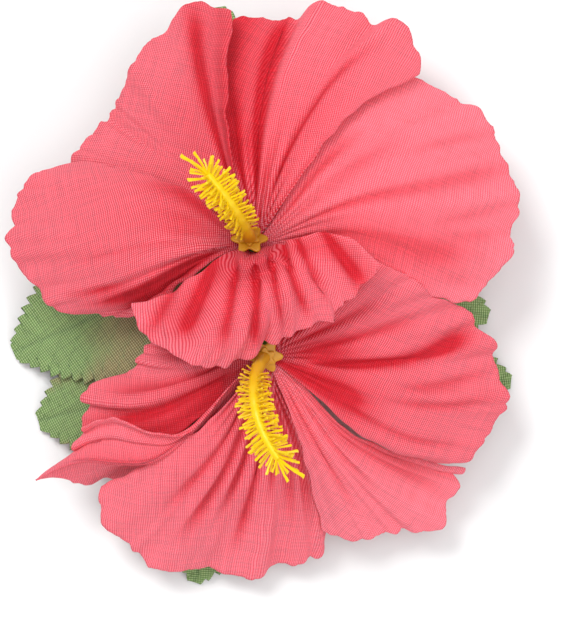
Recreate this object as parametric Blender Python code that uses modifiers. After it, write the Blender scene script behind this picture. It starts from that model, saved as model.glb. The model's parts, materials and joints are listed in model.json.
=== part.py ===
"""Flower hair clip: two woven-fabric hibiscus blooms glued to the fin of a plastic beak clip.

Blender 4.5, metres, +Z up. The clip lies along Y with its finger levers at +Y and its nose at -Y,
and rests on its lower jaw; the blooms face +Z. The jaws turn about the hinge pin, which lies along X.
"""

import math

import bmesh
import bpy
import numpy as np
from mathutils import Matrix, Vector

MM = 0.001
GAP = 0.3 * MM  # between pieces that touch on the real clip
CURVE_WELD = 0.01 * MM

# Clip: overall sizes and walls
CLIP_LENGTH = 86.0 * MM  # lever end to nose
JAW_WIDTH = 12.0 * MM
NOSE_WIDTH = 5.5 * MM
UPPER_THICKNESS = 2.4 * MM
LOWER_THICKNESS = 2.3 * MM
FIN_RADIUS = 19.7 * MM
FIN_THICKNESS = 2.0 * MM
RIM_WIDTH = 4.0 * MM
RIM_THICKNESS = 1.3 * MM
TOOTH_COUNT = 9
TOOTH_PITCH = 3.9 * MM
TOOTH_SIZE = 1.3 * MM
TOOTH_EDGE_INSET = 2.8 * MM  # from a jaw's edge to the middle of a tooth
TOOTH_CLEARANCE = 0.5 * MM  # from a tooth's end to the lower jaw
TOOTH_TAPER = 0.7
FIRST_TOOTH = 4.9 * MM  # behind the fin's centre

# Hinge
PIN_RADIUS = 1.5 * MM
PIN_BORE_RADIUS = 1.1 * MM
PIN_HEAD_RADIUS = 2.3 * MM
PIN_HEAD_THICKNESS = 0.5 * MM
EAR_THICKNESS = 1.3 * MM
EAR_INSET = 0.1 * MM
EAR_WALL = 1.25 * MM  # around the bore
EAR_BEHIND = 3.4 * MM
EAR_AHEAD = 5.2 * MM
LUG_WALL = 0.95 * MM
LUG_BEHIND = 2.3 * MM
LUG_AHEAD = 5.6 * MM
HOOK_SLOT = 1.7 * MM
SPRING_SIDE_GAP = 0.7 * MM  # to the lugs on either side
SPRING_THICKNESS = 0.4 * MM

# Blooms and leaves
PETAL_THICKNESS = 0.8 * MM
PETAL_REACH = 60.0 * MM  # the size of bloom that the tables below give in millimetres
BLOOM_SCALE = PETAL_REACH / 60  # metres for each unit of those tables
THROAT_RADIUS = 3.8 * MM
CALYX_RADIUS = 4.9 * MM
STEM_RADIUS = 1.6 * MM
CALYX_NECK = 0.36  # share of a calyx's height where its cup starts and the leaves grow
BEAD_RADIUS = 3.4 * MM
FLANGE_RADIUS = 4.4 * MM
FLANGE_THICKNESS = 0.9 * MM
STALK_RADIUS = 1.15 * MM
FILAMENT_LENGTH = 4.6 * MM
FILAMENT_COUNT = 36
FILAMENT_ROOT_RADIUS = 0.32 * MM
FILAMENT_TIP_RADIUS = 0.26 * MM
FLANGE_HEIGHT = 2.2 * MM  # above the petals
STAR_POINTS = 6
LEAF_THICKNESS = 0.7 * MM
LEAF_FOLD = 1.2 * MM  # of a blade's edges above its midrib

# Jaw centre lines from the lever end to the nose, as shares of CLIP_LENGTH ahead of the pivot, and heights
PIVOT_Y = 29.0 * MM
PIVOT_Z = 12.3 * MM
UPPER_LINE = (
    (0.077, 21.2), (0.023, 18.7), (-0.047, 17.8), (-0.116, 18.1), (-0.221, 18.2), (-0.337, 17.5),
    (-0.453, 15.9), (-0.57, 13.3), (-0.686, 9.9), (-0.779, 6.4), (-0.863, 2.8),
)
LOWER_LINE = (
    (0.133, 1.3), (0.06, 4.5), (-0.02, 7.5), (-0.105, 9.9), (-0.198, 11.4), (-0.29, 11.9),
    (-0.384, 11.4), (-0.477, 10.2), (-0.57, 8.6), (-0.686, 5.7), (-0.83, 1.3),
)
# Widths along a jaw, lever end to nose, as shares of the way from NOSE_WIDTH to JAW_WIDTH
WIDTH_STEPS = (0.2, 0.97, 1.0, 1.0, 1.0, 1.0, 0.96, 0.86, 0.68, 0.42, -0.25)
FIN_CENTRE_Y = -1.0 * MM
FIN_CENTRE_Z = 8.8 * MM

# The spring's centre line: its foot as millimetres behind the pivot and above the lower lever's middle, and
# its loop as millimetres behind and above the pivot
SPRING_FOOT = ((9.4, 1.74), (7.4, 3.5))
SPRING_LOOP = ((4.0, -3.2), (-0.4, -2.9), (-3.4, -1.9), (-4.6, 0.2), (-3.4, 2.4), (-0.6, 3.4), (2.6, 3.7))

# Each bloom: its throat's centre in plan, the stamen flange's place beside that, and the calyx's height
BLOOMS = {
    "upper": {"centre": (-2.8, 11.1), "flange": (-0.7, 2.0), "calyx": 10.6},
    "lower": {"centre": (0.0, -14.3), "flange": (0.0, 0.0), "calyx": 8.6},
}

# Petals, in plan around their own throat. layer counts the petals that lie under it. low and high are the
# angles in degrees of its two side edges at thirds of its length. reach is the rim's distance at even steps
# from one edge to the other, in millimetres for a 60 mm bloom. lift is the height above the throat, less the
# thickness of the layers, at quarters of its length and at even steps from its low edge to its high edge.
PETALS = {
    "upper_left_petal": {
        "bloom": "upper",
        "layer": 3,
        "low": (144, 138, 147, 155),
        "high": (175, 192, 206, 207),
        "reach": (47.3, 55, 57.5, 56, 52.5, 44, 36.6),
        "lift": ((1.7, 2.2, 0.2), (0.2, 2.2, -0.3), (-4.8, -2.8, -3.8), (-11.8, -11.8, -8.8)),
    },
    "upper_top_left_petal": {
        "bloom": "upper",
        "layer": 2,
        "low": (106, 102.5, 99, 95),
        "high": (137, 145, 157, 164),
        "reach": (54.5, 58.6, 53.5, 48, 46, 47, 46),
        "lift": ((2.8, 1.3, -0.2), (2.3, -0.7, -2.7), (-0.7, -5.7, -8.7), (-5.7, -13.7, -16.7)),
    },
    "upper_top_petal": {
        "bloom": "upper",
        "layer": 1,
        "low": (58, 56, 53.5, 46),
        "high": (100, 108, 107, 104),
        "reach": (55.5, 61.5, 61, 60.5, 58.8, 55, 54, 53.7, 53),
        "lift": ((3.9, 1.9, 0.9), (3.9, 0.9, -0.1), (-0.6, -3.6, -3.6), (-7.6, -10.6, -9.6)),
    },
    "upper_right_petal": {
        "bloom": "upper",
        "layer": 0,
        "low": (8, -2, -10, -13.5),
        "high": (51, 62, 60, 52),
        "reach": (52.7, 57.5, 62, 63, 63.5, 62.5, 60, 55.8, 54),
        "lift": ((1.5, 3.5, 2), (-0.5, 2.5, 1.5), (-4.5, -2.5, -3), (-10.5, -11.5, -10)),
    },
    "upper_lip_petal": {
        "bloom": "upper",
        "layer": 4,
        "low": (-178, -158, -151, -155),
        "high": (3, 11.5, 7.5, -8),
        "reach": (31, 32, 30, 28, 22.3, 22.3, 22.5, 25.5, 29.5),
        "lift": ((3.1, 7.1, 3.6), (4.6, 9.6, 5.6), (3.1, 7.1, 5.6), (0.1, 1.6, 4.6)),
    },
    "lower_right_petal": {
        "bloom": "lower",
        "layer": 4,
        "low": (-34, -38, -38.5, -30),
        "high": (48, 50, 50, 46),
        "reach": (50.5, 55.4, 57.2, 54.2, 50.5, 44, 39, 35.5, 33.5),
        "lift": (
            (-1.9, -2.9, -3.4, -2.9, -1.9), (-4.9, -5.9, -4.9, -2.4, 0.1),
            (-10.9, -12.4, -9.9, -1.9, 2.6), (-19.4, -20.4, -15.4, -3.4, 4.1),
        ),
    },
    "lower_bottom_right_petal": {
        "bloom": "lower",
        "layer": 3,
        "low": (-62, -66, -69.5, -72),
        "high": (-39, -42, -36, -29),
        "reach": (43.5, 48.3, 50, 53.5, 57.5, 55.2, 54),
        "lift": ((-1.8, -3.3, -4.3), (-6.3, -8.3, -8.3), (-14.3, -16.3, -15.8), (-23.3, -25.3, -24.3)),
    },
    "lower_bottom_petal": {
        "bloom": "lower",
        "layer": 2,
        "low": (-124, -130, -136.5, -141.3),
        "high": (-67, -61, -64, -68),
        "reach": (47.5, 53.9, 55, 55.5, 53, 53, 50.3, 50.5, 44.8),
        "lift": ((-0.7, -3.7, -3.7), (-3.7, -9.7, -9.7), (-9.2, -18.7, -17.7), (-17.7, -28.2, -27.2)),
    },
    "lower_left_petal": {
        "bloom": "lower",
        "layer": 1,
        "low": (-147, -139, -149, -158),
        "high": (-130, -127, -133, -137),
        "reach": (46, 48.5, 60.5, 55.5, 51, 46, 42),
        "lift": ((0.4, -2.1, -4.5), (-0.6, -5.1, -9.7), (-3.6, -11.1, -17.6), (-10.6, -20.1, -27.1)),
    },
    "lower_upper_left_petal": {
        "bloom": "lower",
        "layer": 0,
        "low": (125, 140, 150, 155),
        "high": (207, 220, 216, 204.5),
        "reach": (30, 28.5, 27, 27.5, 28.8, 36, 42.2, 45.3, 45.5),
        "lift": ((3.5, 2.5, -1.5), (4.5, 1.5, -3.5), (3.5, -2.5, -6.5), (1.5, -7.5, -11.5)),
    },
}

# Leaves: bloom whose stem they grow from, plan position of the tip, tip height, full width, and how far
# the middle of the blade stands above a straight line, all in millimetres
LEAVES = {
    "left_upper_leaf": {"bloom": "upper", "tip": (-60.0, -13.5), "height": 1.2, "width": 34, "arch": 4.0},
    "left_lower_leaf": {"bloom": "lower", "tip": (-54.5, -28.5), "height": 0.8, "width": 30, "arch": 1.5},
    "bottom_leaf": {"bloom": "lower", "tip": (-17.0, -68.3), "height": 0.8, "width": 26, "arch": 0.0},
    "right_upper_leaf": {"bloom": "upper", "tip": (53.0, -5.0), "height": 6.0, "width": 26, "arch": 4.5},
    "right_lower_leaf": {"bloom": "lower", "tip": (58.6, -20.5), "height": 0.8, "width": 25, "arch": -1.0},
    "top_leaf": {"bloom": "upper", "tip": (-11.0, 68.4), "height": 9.0, "width": 24, "arch": 4.0},
}
LEAF_SHAPE = (0.1, 0.16, 0.62, 0.95, 1.0, 0.86, 0.55, 0.12)

# Stamen columns: plan offset of the tip from the flange, and its height, in millimetres
STAMENS = {
    "upper": {"tip": (-13.5, 18.0), "rise": 25.0, "bow": 3.0},
    "lower": {"tip": (3.6, -28.0), "rise": 17.0, "bow": 4.0},
}

COLOURS = {
    "clip_plastic": (0.035, 0.04, 0.02, 0.22, 0.0),
    "spring_steel": (0.62, 0.63, 0.64, 0.3, 1.0),
    "petal_fabric": (0.83, 0.12, 0.15, 0.75, 0.0),
    "leaf_fabric": (0.2, 0.3, 0.11, 0.8, 0.0),
    "stamen_plastic": (0.86, 0.5, 0.01, 0.45, 0.0),
    "calyx_plastic": (0.08, 0.3, 0.03, 0.4, 0.0),
    "hot_glue": (0.7, 0.3, 0.02, 0.15, 0.0),
}


# Curves and places

def smooth(values, places):
    """A Catmull-Rom curve through evenly spaced values, read at places from 0 to 1."""
    values = np.asarray(values, dtype=float)
    first = 2 * values[:1] - values[1:2]
    last = 2 * values[-1:] - values[-2:-1]
    padded = np.concatenate([first, values, last])
    at = np.clip(np.asarray(places, dtype=float), 0, 1) * (len(values) - 1)
    index = np.minimum(at.astype(int), len(values) - 2)
    part = at - index
    if values.ndim > 1:
        part = part[..., None]
    a, b, c, d = (padded[index + step] for step in range(4))
    return b + 0.5 * part * (c - a + part * (2 * a - 5 * b + 4 * c - d + part * (3 * (b - c) + d - a)))


def jaw_line(line, count):
    """Evenly read points (y, z) of a jaw's centre line, lever end first."""
    points = smooth(line, np.linspace(0, 1, count))
    return np.column_stack([PIVOT_Y + points[:, 0] * CLIP_LENGTH, points[:, 1] * MM])


def height_at(line, y):
    """Height of a jaw's centre line at y."""
    points = jaw_line(line, 121)[::-1]
    return float(np.interp(y, points[:, 0], points[:, 1]))


def rim_height(y):
    """Top of the fin's rim at y."""
    return FIN_CENTRE_Z + math.sqrt(max(FIN_RADIUS ** 2 - (y - FIN_CENTRE_Y) ** 2, 0.0))


def bloom_centre(name):
    """Plan centre of a bloom's throat, further from the other bloom's when the blooms are larger."""
    return Vector((*BLOOMS[name]["centre"], 0)) * BLOOM_SCALE


def stem_foot(name):
    """Height at which a bloom's stem stands clear of the rim, measured on its side nearer the fin's top."""
    off_top = bloom_centre(name).y - FIN_CENTRE_Y
    nearer = math.copysign(abs(off_top) - STEM_RADIUS, off_top)
    return rim_height(FIN_CENTRE_Y + nearer) + GAP


def throat_height(name):
    """Height of the petals' roots above the table."""
    return stem_foot(name) + BLOOMS[name]["calyx"] * MM + GAP + PETAL_THICKNESS / 2


# Objects

def collection(name):
    made = bpy.data.collections.new(name)
    bpy.context.scene.collection.children.link(made)
    return made


def material(name):
    red, green, blue, roughness, metallic = COLOURS[name]
    made = bpy.data.materials.new(name)
    made.use_nodes = True
    shader = made.node_tree.nodes["Principled BSDF"]
    shader.inputs["Base Color"].default_value = (red, green, blue, 1)
    shader.inputs["Roughness"].default_value = roughness
    shader.inputs["Metallic"].default_value = metallic
    return made


def add_object(name, mesh, home, finish=None, smooth_angle=40):
    """Links a mesh as an object in a collection, with its material and smooth shading."""
    made = bpy.data.objects.new(name, mesh)
    home.objects.link(made)
    if finish is not None:
        mesh.materials.append(finish)
        mesh.shade_smooth()
        mesh.set_sharp_from_angle(angle=math.radians(smooth_angle))
    return made


def grid_mesh(name, points):
    """An open surface from a grid of points, rows by columns, whose faces look up when columns turn left."""
    rows, columns = points.shape[:2]
    shape = bmesh.new()
    corners = [[shape.verts.new(points[r, c]) for c in range(columns)] for r in range(rows)]
    for r in range(rows - 1):
        for c in range(columns - 1):
            shape.faces.new((corners[r][c], corners[r + 1][c], corners[r + 1][c + 1], corners[r][c + 1]))
    mesh = bpy.data.meshes.new(name)
    shape.to_mesh(mesh)
    shape.free()
    return mesh


def thicken(made, thickness):
    modifier = made.modifiers.new("thickness", "SOLIDIFY")
    modifier.thickness = thickness
    modifier.offset = 0
    modifier.use_even_offset = True


def plate(name, outline, x_low, x_high, home):
    """A flat plate square to X, from a closed outline of points (y, z)."""
    drawing = bpy.data.curves.new(name, "CURVE")
    drawing.dimensions = "2D"
    drawing.fill_mode = "BOTH"
    drawing.extrude = (x_high - x_low) / 2
    spline = drawing.splines.new("POLY")
    spline.points.add(len(outline) - 1)
    for point, (y, z) in zip(spline.points, outline):
        point.co = (y, z, 0, 1)
    spline.use_cyclic_u = True
    flat = bpy.data.objects.new(name + "_drawing", drawing)
    home.objects.link(flat)
    # The drawing's own X and Y lie along Y and Z
    middle = (x_low + x_high) / 2
    flat.matrix_world = Matrix(((0, 0, 1, middle), (1, 0, 0, 0), (0, 1, 0, 0), (0, 0, 0, 1)))
    return mesh_from(flat, name, home)


def mesh_from(source, name, home):
    """A welded mesh object in the place of a curve object, which is removed."""
    bpy.context.view_layer.update()
    evaluated = source.evaluated_get(bpy.context.evaluated_depsgraph_get())
    mesh = bpy.data.meshes.new_from_object(evaluated)
    shape = bmesh.new()
    shape.from_mesh(mesh)
    bmesh.ops.remove_doubles(shape, verts=shape.verts, dist=CURVE_WELD)
    bmesh.ops.transform(shape, matrix=source.matrix_world, verts=shape.verts)
    bmesh.ops.recalc_face_normals(shape, faces=shape.faces)
    shape.to_mesh(mesh)
    shape.free()
    bpy.data.objects.remove(source)
    made = bpy.data.objects.new(name, mesh)
    home.objects.link(made)
    return made


def rod(name, radius, start, end, home, sides=24, end_radius=None):
    """A closed cylinder or cone between two points."""
    start = Vector(start)
    along = Vector(end) - start
    turn = along.to_track_quat("Z", "Y").to_matrix().to_4x4()
    shape = bmesh.new()
    bmesh.ops.create_cone(
        shape, cap_ends=True, segments=sides, radius1=radius, radius2=end_radius or radius,
        depth=along.length, matrix=Matrix.Translation(start + along / 2) @ turn,
    )
    mesh = bpy.data.meshes.new(name)
    shape.to_mesh(mesh)
    shape.free()
    made = bpy.data.objects.new(name, mesh)
    home.objects.link(made)
    return made


def combine(made, operation, tools):
    """One Boolean modifier on an object, whose tools stay as hidden guides in a collection of their own."""
    group = bpy.data.collections.new(f"{made.name}_{operation.lower()}")
    bpy.data.collections["guides"].children.link(group)
    for tool in tools:
        tool.hide_render = True
        tool.display_type = "WIRE"
        for home in list(tool.users_collection):
            home.objects.unlink(tool)
        group.objects.link(tool)
    modifier = made.modifiers.new(operation.lower(), "BOOLEAN")
    modifier.operation = operation
    modifier.solver = "EXACT"
    modifier.operand_type = "COLLECTION"
    modifier.collection = group


def along_x(y, z):
    """The place of a shape turned about Z that is laid along X at y and z."""
    return Matrix.Translation((0, y, z)) @ Matrix.Rotation(math.pi / 2, 4, "Y")


def arc(centre, radius, start, end, count):
    """Points (y, z) along an arc, angles in degrees from +Y towards +Z."""
    turns = np.radians(np.linspace(start, end, count))
    return [(centre[0] + radius * math.cos(a), centre[1] + radius * math.sin(a)) for a in turns]


# Clip

def half_widths(count):
    """Half the width of a jaw at evenly read points of its centre line."""
    shares = smooth(WIDTH_STEPS, np.linspace(0, 1, count))
    return (NOSE_WIDTH + shares * (JAW_WIDTH - NOSE_WIDTH)) / 2


def jaw_plate(name, line, thickness, home, finish):
    """A jaw's curved strip, wide at the levers and narrow at the nose."""
    rows = 31
    points = jaw_line(line, rows)
    halves = half_widths(rows)
    grid = np.zeros((rows, 5, 3))
    for column, side in enumerate((-1, -0.6, 0, 0.6, 1)):
        grid[:, column, 0] = side * halves
        grid[:, column, 1] = points[:, 0]
        grid[:, column, 2] = points[:, 1]
    made = add_object(name, grid_mesh(name, grid), home, finish)
    thicken(made, thickness)
    return made


def fin_span():
    """Angles in degrees at which the fin's arc dives into the upper jaw, levers first."""
    turns = np.linspace(0, 180, 361)
    inside = []
    for turn in turns:
        y, z = arc((FIN_CENTRE_Y, FIN_CENTRE_Z), FIN_RADIUS, turn, turn, 1)[0]
        if z > height_at(UPPER_LINE, y):
            inside.append(turn)
    return inside[0], inside[-1]


def half_moon_fin(home):
    """Disc on edge, with a wider rim, cut off inside the upper jaw."""
    web = FIN_THICKNESS / 2
    rim = RIM_WIDTH / 2
    inner = FIN_RADIUS - RIM_THICKNESS
    profile = [
        (0, web), (inner, web), (inner, rim), (FIN_RADIUS, rim),
        (FIN_RADIUS, -rim), (inner, -rim), (inner, -web), (0, -web),
    ]
    made = turned("fin", profile, 72, home)
    made.matrix_world = along_x(FIN_CENTRE_Y, FIN_CENTRE_Z)
    reach = FIN_RADIUS + UPPER_THICKNESS
    edge = FIN_CENTRE_Y + np.linspace(reach, -reach, 14)
    foot = [(y, height_at(UPPER_LINE, y)) for y in edge]
    low = FIN_CENTRE_Z - reach
    below = [(edge[-1], low), (edge[0], low)]
    combine(made, "DIFFERENCE", [plate("below_fin", foot + below, -JAW_WIDTH, JAW_WIDTH, home)])
    return made


def tooth_tools(home):
    """Two rows of pegs that hang from the upper jaw and stop just above the lower one."""
    made = []
    line = jaw_line(UPPER_LINE, 121)[::-1]
    halves = half_widths(121)[::-1]
    size = TOOTH_SIZE / 2
    for index in range(TOOTH_COUNT):
        y = FIN_CENTRE_Y + FIRST_TOOTH - index * TOOTH_PITCH
        top = height_at(UPPER_LINE, y)
        bottom = height_at(LOWER_LINE, y) + LOWER_THICKNESS / 2 + TOOTH_CLEARANCE
        end = size * TOOTH_TAPER
        outline = [(y - size, top), (y - end, bottom), (y + end, bottom), (y + size, top)]
        offset = float(np.interp(y, line[:, 0], halves)) - TOOTH_EDGE_INSET
        for side, word in ((-1, "left"), (1, "right")):
            middle = side * offset
            made.append(plate(f"tooth_{index}_{word}", outline, middle - size, middle + size, home))
    return made


def hinge_layers():
    """Inner and outer X of the upper jaw's ears, and of the lower jaw's lugs inside them."""
    ear_outer = JAW_WIDTH / 2 - EAR_INSET
    ear_inner = ear_outer - EAR_THICKNESS
    lug_outer = ear_inner - GAP
    return (ear_inner, ear_outer), (lug_outer - EAR_THICKNESS, lug_outer)


def pin_bore(name, home):
    """Cutter for the pin's running hole through a jaw."""
    start = (-JAW_WIDTH, PIVOT_Y, PIVOT_Z)
    end = (JAW_WIDTH, PIVOT_Y, PIVOT_Z)
    return rod(name, PIN_RADIUS + GAP, start, end, home)


def upper_jaw(home, guides, finish):
    """Top jaw with its finger lever, half-moon fin, teeth and the two hooked hinge ears."""
    made = jaw_plate("upper_jaw", UPPER_LINE, UPPER_THICKNESS, home, finish)
    hook = PIN_RADIUS + GAP + EAR_WALL
    back = PIVOT_Y + EAR_BEHIND
    front = PIVOT_Y - EAR_AHEAD
    outline = [
        (back, height_at(UPPER_LINE, back)),
        *arc((PIVOT_Y, PIVOT_Z), hook, 15, -165, 13),
        (front, height_at(UPPER_LINE, front)),
    ]
    layers = hinge_layers()[0]
    tools = [half_moon_fin(guides)] + tooth_tools(guides)
    for side, name in ((-1, "ear_left"), (1, "ear_right")):
        low, high = sorted((side * layers[0], side * layers[1]))
        tools.append(plate(name, outline, low, high, guides))
    combine(made, "UNION", tools)
    below = PIVOT_Z - 2 * hook
    # The slot leans back, so that the ear ends in a hook
    opening = [
        (PIVOT_Y - HOOK_SLOT * 0.25, PIVOT_Z), (PIVOT_Y + HOOK_SLOT * 0.15, below),
        (PIVOT_Y + HOOK_SLOT * 1.05, below), (PIVOT_Y + HOOK_SLOT * 0.75, PIVOT_Z),
    ]
    slot = plate("hook_slot", opening, -JAW_WIDTH, JAW_WIDTH, guides)
    combine(made, "DIFFERENCE", [pin_bore("ear_bore", guides), slot])
    return made


def lower_jaw(home, guides, finish):
    """Bottom jaw with its finger lever and the two lugs that hold the pin."""
    made = jaw_plate("lower_jaw", LOWER_LINE, LOWER_THICKNESS, home, finish)
    lug = PIN_RADIUS + GAP + LUG_WALL
    front = PIVOT_Y - LUG_AHEAD
    back = PIVOT_Y + LUG_BEHIND
    outline = [
        (back, height_at(LOWER_LINE, back)),
        *arc((PIVOT_Y, PIVOT_Z), lug, 0, 180, 13),
        (front, height_at(LOWER_LINE, front)),
    ]
    layers = hinge_layers()[1]
    tools = []
    for side, name in ((-1, "lug_left"), (1, "lug_right")):
        low, high = sorted((side * layers[0], side * layers[1]))
        tools.append(plate(name, outline, low, high, guides))
    combine(made, "UNION", tools)
    combine(made, "DIFFERENCE", [pin_bore("lug_bore", guides)])
    return made


def hinge_pin(home, finish):
    """Hollow rivet through lugs and ears, with a rolled head outside each ear."""
    half = JAW_WIDTH / 2 - EAR_INSET + GAP + PIN_HEAD_THICKNESS
    neck = half - PIN_HEAD_THICKNESS
    profile = [
        (PIN_BORE_RADIUS, half), (PIN_HEAD_RADIUS, half), (PIN_HEAD_RADIUS, neck), (PIN_RADIUS, neck),
        (PIN_RADIUS, -neck), (PIN_HEAD_RADIUS, -neck), (PIN_HEAD_RADIUS, -half), (PIN_BORE_RADIUS, -half),
    ]
    made = turned("hinge_pin", profile, 24, home, finish, closed=True)
    made.matrix_world = along_x(PIVOT_Y, PIVOT_Z)
    return made


def turned(name, profile, steps, home, finish=None, closed=False):
    """A profile of (radius, height) points, top to bottom, turned about Z with a Screw modifier."""
    shape = bmesh.new()
    points = [shape.verts.new((radius, 0, height)) for radius, height in profile]
    ends = points[1:] + points[:1] if closed else points[1:]
    for start, end in zip(points, ends):
        shape.edges.new((start, end))
    mesh = bpy.data.meshes.new(name)
    shape.to_mesh(mesh)
    shape.free()
    made = add_object(name, mesh, home, finish)
    screw = made.modifiers.new("turned", "SCREW")
    screw.steps = steps
    screw.render_steps = steps
    screw.use_merge_vertices = True
    screw.merge_threshold = CURVE_WELD
    return made


def leaf_spring(home, finish):
    """Flat steel strip that wraps the pin and pushes the two levers apart."""
    rows = 29
    points = []
    for behind, above in SPRING_FOOT:
        lever = height_at(LOWER_LINE, PIVOT_Y + behind * MM)
        points.append((PIVOT_Y + behind * MM, lever + above * MM))
    for behind, above in SPRING_LOOP:
        points.append((PIVOT_Y + behind * MM, PIVOT_Z + above * MM))
    line = smooth(points, np.linspace(0, 1, rows))
    half_width = hinge_layers()[1][0] - SPRING_SIDE_GAP
    grid = np.zeros((rows, 2, 3))
    for column, side in enumerate((-1, 1)):
        grid[:, column, 0] = side * half_width
        grid[:, column, 1] = line[:, 0]
        grid[:, column, 2] = line[:, 1]
    made = add_object("leaf_spring", grid_mesh("leaf_spring", grid), home, finish)
    thicken(made, SPRING_THICKNESS)
    return made


# Blooms

def calyx(bloom, home, finish):
    """Moulded green cup under a bloom, on a short stem that ends at the fin's rim."""
    tall = BLOOMS[bloom]["calyx"] * MM
    profile = [
        (0, tall), (CALYX_RADIUS * 0.94, tall), (CALYX_RADIUS, tall * 0.94),
        (CALYX_RADIUS * 0.86, tall * 0.72), (CALYX_RADIUS * 0.6, tall * 0.5),
        (STEM_RADIUS * 1.25, tall * CALYX_NECK), (STEM_RADIUS, tall * 0.28), (STEM_RADIUS, 0), (0, 0),
    ]
    made = turned(f"{bloom}_calyx", profile, 16, home, finish)
    place = bloom_centre(bloom)
    made.location = (place.x, place.y, stem_foot(bloom))
    return made


def glue_bead(bloom, home, guides, finish):
    """Blob of hot glue that joins a stem to the fin's rim, with room for both cut out of it."""
    place = bloom_centre(bloom)
    foot = stem_foot(bloom)
    shape = bmesh.new()
    bmesh.ops.create_uvsphere(shape, u_segments=16, v_segments=10, radius=BEAD_RADIUS)
    bmesh.ops.scale(shape, vec=(1.0, 1.05, 0.72), verts=shape.verts)
    mesh = bpy.data.meshes.new(f"{bloom}_glue_bead")
    shape.to_mesh(mesh)
    shape.free()
    made = add_object(f"{bloom}_glue_bead", mesh, home, finish)
    made.location = (place.x * 0.55, place.y, foot + 0.35 * MM)
    low = (place.x, place.y, foot - GAP)
    high = (place.x, place.y, foot + 3 * BEAD_RADIUS)
    stem = rod(f"{bloom}_stem_room", STEM_RADIUS + GAP, low, high, guides, sides=16)
    start, end = fin_span()
    centre = (FIN_CENTRE_Y, FIN_CENTRE_Z)
    inner = arc(centre, FIN_RADIUS - RIM_THICKNESS - 2 * BEAD_RADIUS, start, end, 17)
    outer = arc(centre, FIN_RADIUS + GAP, start, end, 65)
    side = RIM_WIDTH / 2 + GAP
    rim = plate(f"{bloom}_rim_room", outer + inner[::-1], -side, side, guides)
    combine(made, "DIFFERENCE", [rim, stem])
    return made


def petal(name, home, finish):
    """One petal, a ruffled sheet from the throat ring to its rim."""
    design = PETALS[name]
    rows, columns = 8, 11
    along = np.linspace(0, 1, rows)
    across = np.linspace(0, 1, columns)
    low = smooth(design["low"], along)[:, None]
    high = smooth(design["high"], along)[:, None]
    angle = np.radians(low + (high - low) * across[None, :])
    reach = smooth(design["reach"], across)[None, :] * BLOOM_SCALE
    radius = THROAT_RADIUS + (reach - THROAT_RADIUS) * along[:, None]
    lifts = np.asarray(design["lift"], dtype=float) * BLOOM_SCALE
    lifts += design["layer"] * (PETAL_THICKNESS + GAP)
    net = np.vstack([np.zeros_like(lifts[:1]), lifts])
    lift = smooth(smooth(net, along).T, across).T
    centre = bloom_centre(design["bloom"])
    grid = np.zeros((rows, columns, 3))
    grid[:, :, 0] = centre.x + radius * np.cos(angle)
    grid[:, :, 1] = centre.y + radius * np.sin(angle)
    grid[:, :, 2] = throat_height(design["bloom"]) + lift
    made = add_object(name, grid_mesh(name, grid), home, finish, smooth_angle=80)
    thicken(made, PETAL_THICKNESS)
    return made


def leaf(name, home, finish):
    """One leaf blade with its short stalk, from beside the stem to its drooping tip."""
    design = LEAVES[name]
    centre = bloom_centre(design["bloom"])
    tip = Vector((*design["tip"], 0)) * BLOOM_SCALE
    out = (tip - centre).normalized()
    side = Vector((-out.y, out.x, 0))
    root = centre + out * (CALYX_RADIUS * 0.6 + 2 * GAP)
    root_height = stem_foot(design["bloom"]) + BLOOMS[design["bloom"]]["calyx"] * MM * CALYX_NECK
    tip_height = design["height"] * MM + LEAF_THICKNESS
    half_width = design["width"] * BLOOM_SCALE / 2
    rows, columns = 12, 7
    along = np.linspace(0, 1, rows)
    shares = smooth(LEAF_SHAPE, along)
    grid = np.zeros((rows, columns, 3))
    for row, share in enumerate(along):
        middle = root.lerp(tip, share)
        height = root_height + (tip_height - root_height) * share
        height += design["arch"] * MM * 4 * share * (1 - share)
        for column, across in enumerate(np.linspace(-1, 1, columns)):
            edge = middle + side * (across * shares[row] * half_width)
            grid[row, column] = (edge.x, edge.y, height + abs(across) * shares[row] * LEAF_FOLD)
    made = add_object(name, grid_mesh(name, grid), home, finish, smooth_angle=80)
    thicken(made, LEAF_THICKNESS)
    return made


def stamen_line(bloom, places):
    """Points of a stamen column's centre line, from the flange to the tip."""
    design = STAMENS[bloom]
    centre = bloom_centre(bloom)
    flange = BLOOMS[bloom]["flange"]
    start = np.array((centre.x + flange[0] * MM, centre.y + flange[1] * MM, 0))
    start[2] = throat_height(bloom) + PETAL_THICKNESS / 2 + FLANGE_HEIGHT
    reach = np.array((design["tip"][0], design["tip"][1], 0)) * MM
    places = np.asarray(places, dtype=float)[:, None]
    rise = np.array((0, 0, design["rise"] * MM))
    bow = np.array((0, 0, design["bow"] * MM))
    return start + reach * places ** 1.25 + rise * places + bow * 4 * places * (1 - places)


def filaments(bloom, home):
    """Short rods that stand out around the outer two thirds of a stamen column, leaning to its tip."""
    golden = math.radians(137.5)
    made = []
    for index in range(FILAMENT_COUNT):
        share = 0.3 + 0.68 * index / (FILAMENT_COUNT - 1)
        near, far = stamen_line(bloom, [share - 0.02, share])
        middle = Vector(far)
        direction = (middle - Vector(near)).normalized()
        across = direction.orthogonal().normalized()
        turn = Matrix.Rotation(index * golden, 3, direction)
        end = middle + ((turn @ across) * 0.86 + direction * 0.5) * FILAMENT_LENGTH
        name = f"{bloom}_filament_{index}"
        made.append(rod(name, FILAMENT_ROOT_RADIUS, middle, end, home, 4, FILAMENT_TIP_RADIUS))
    return made


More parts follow.
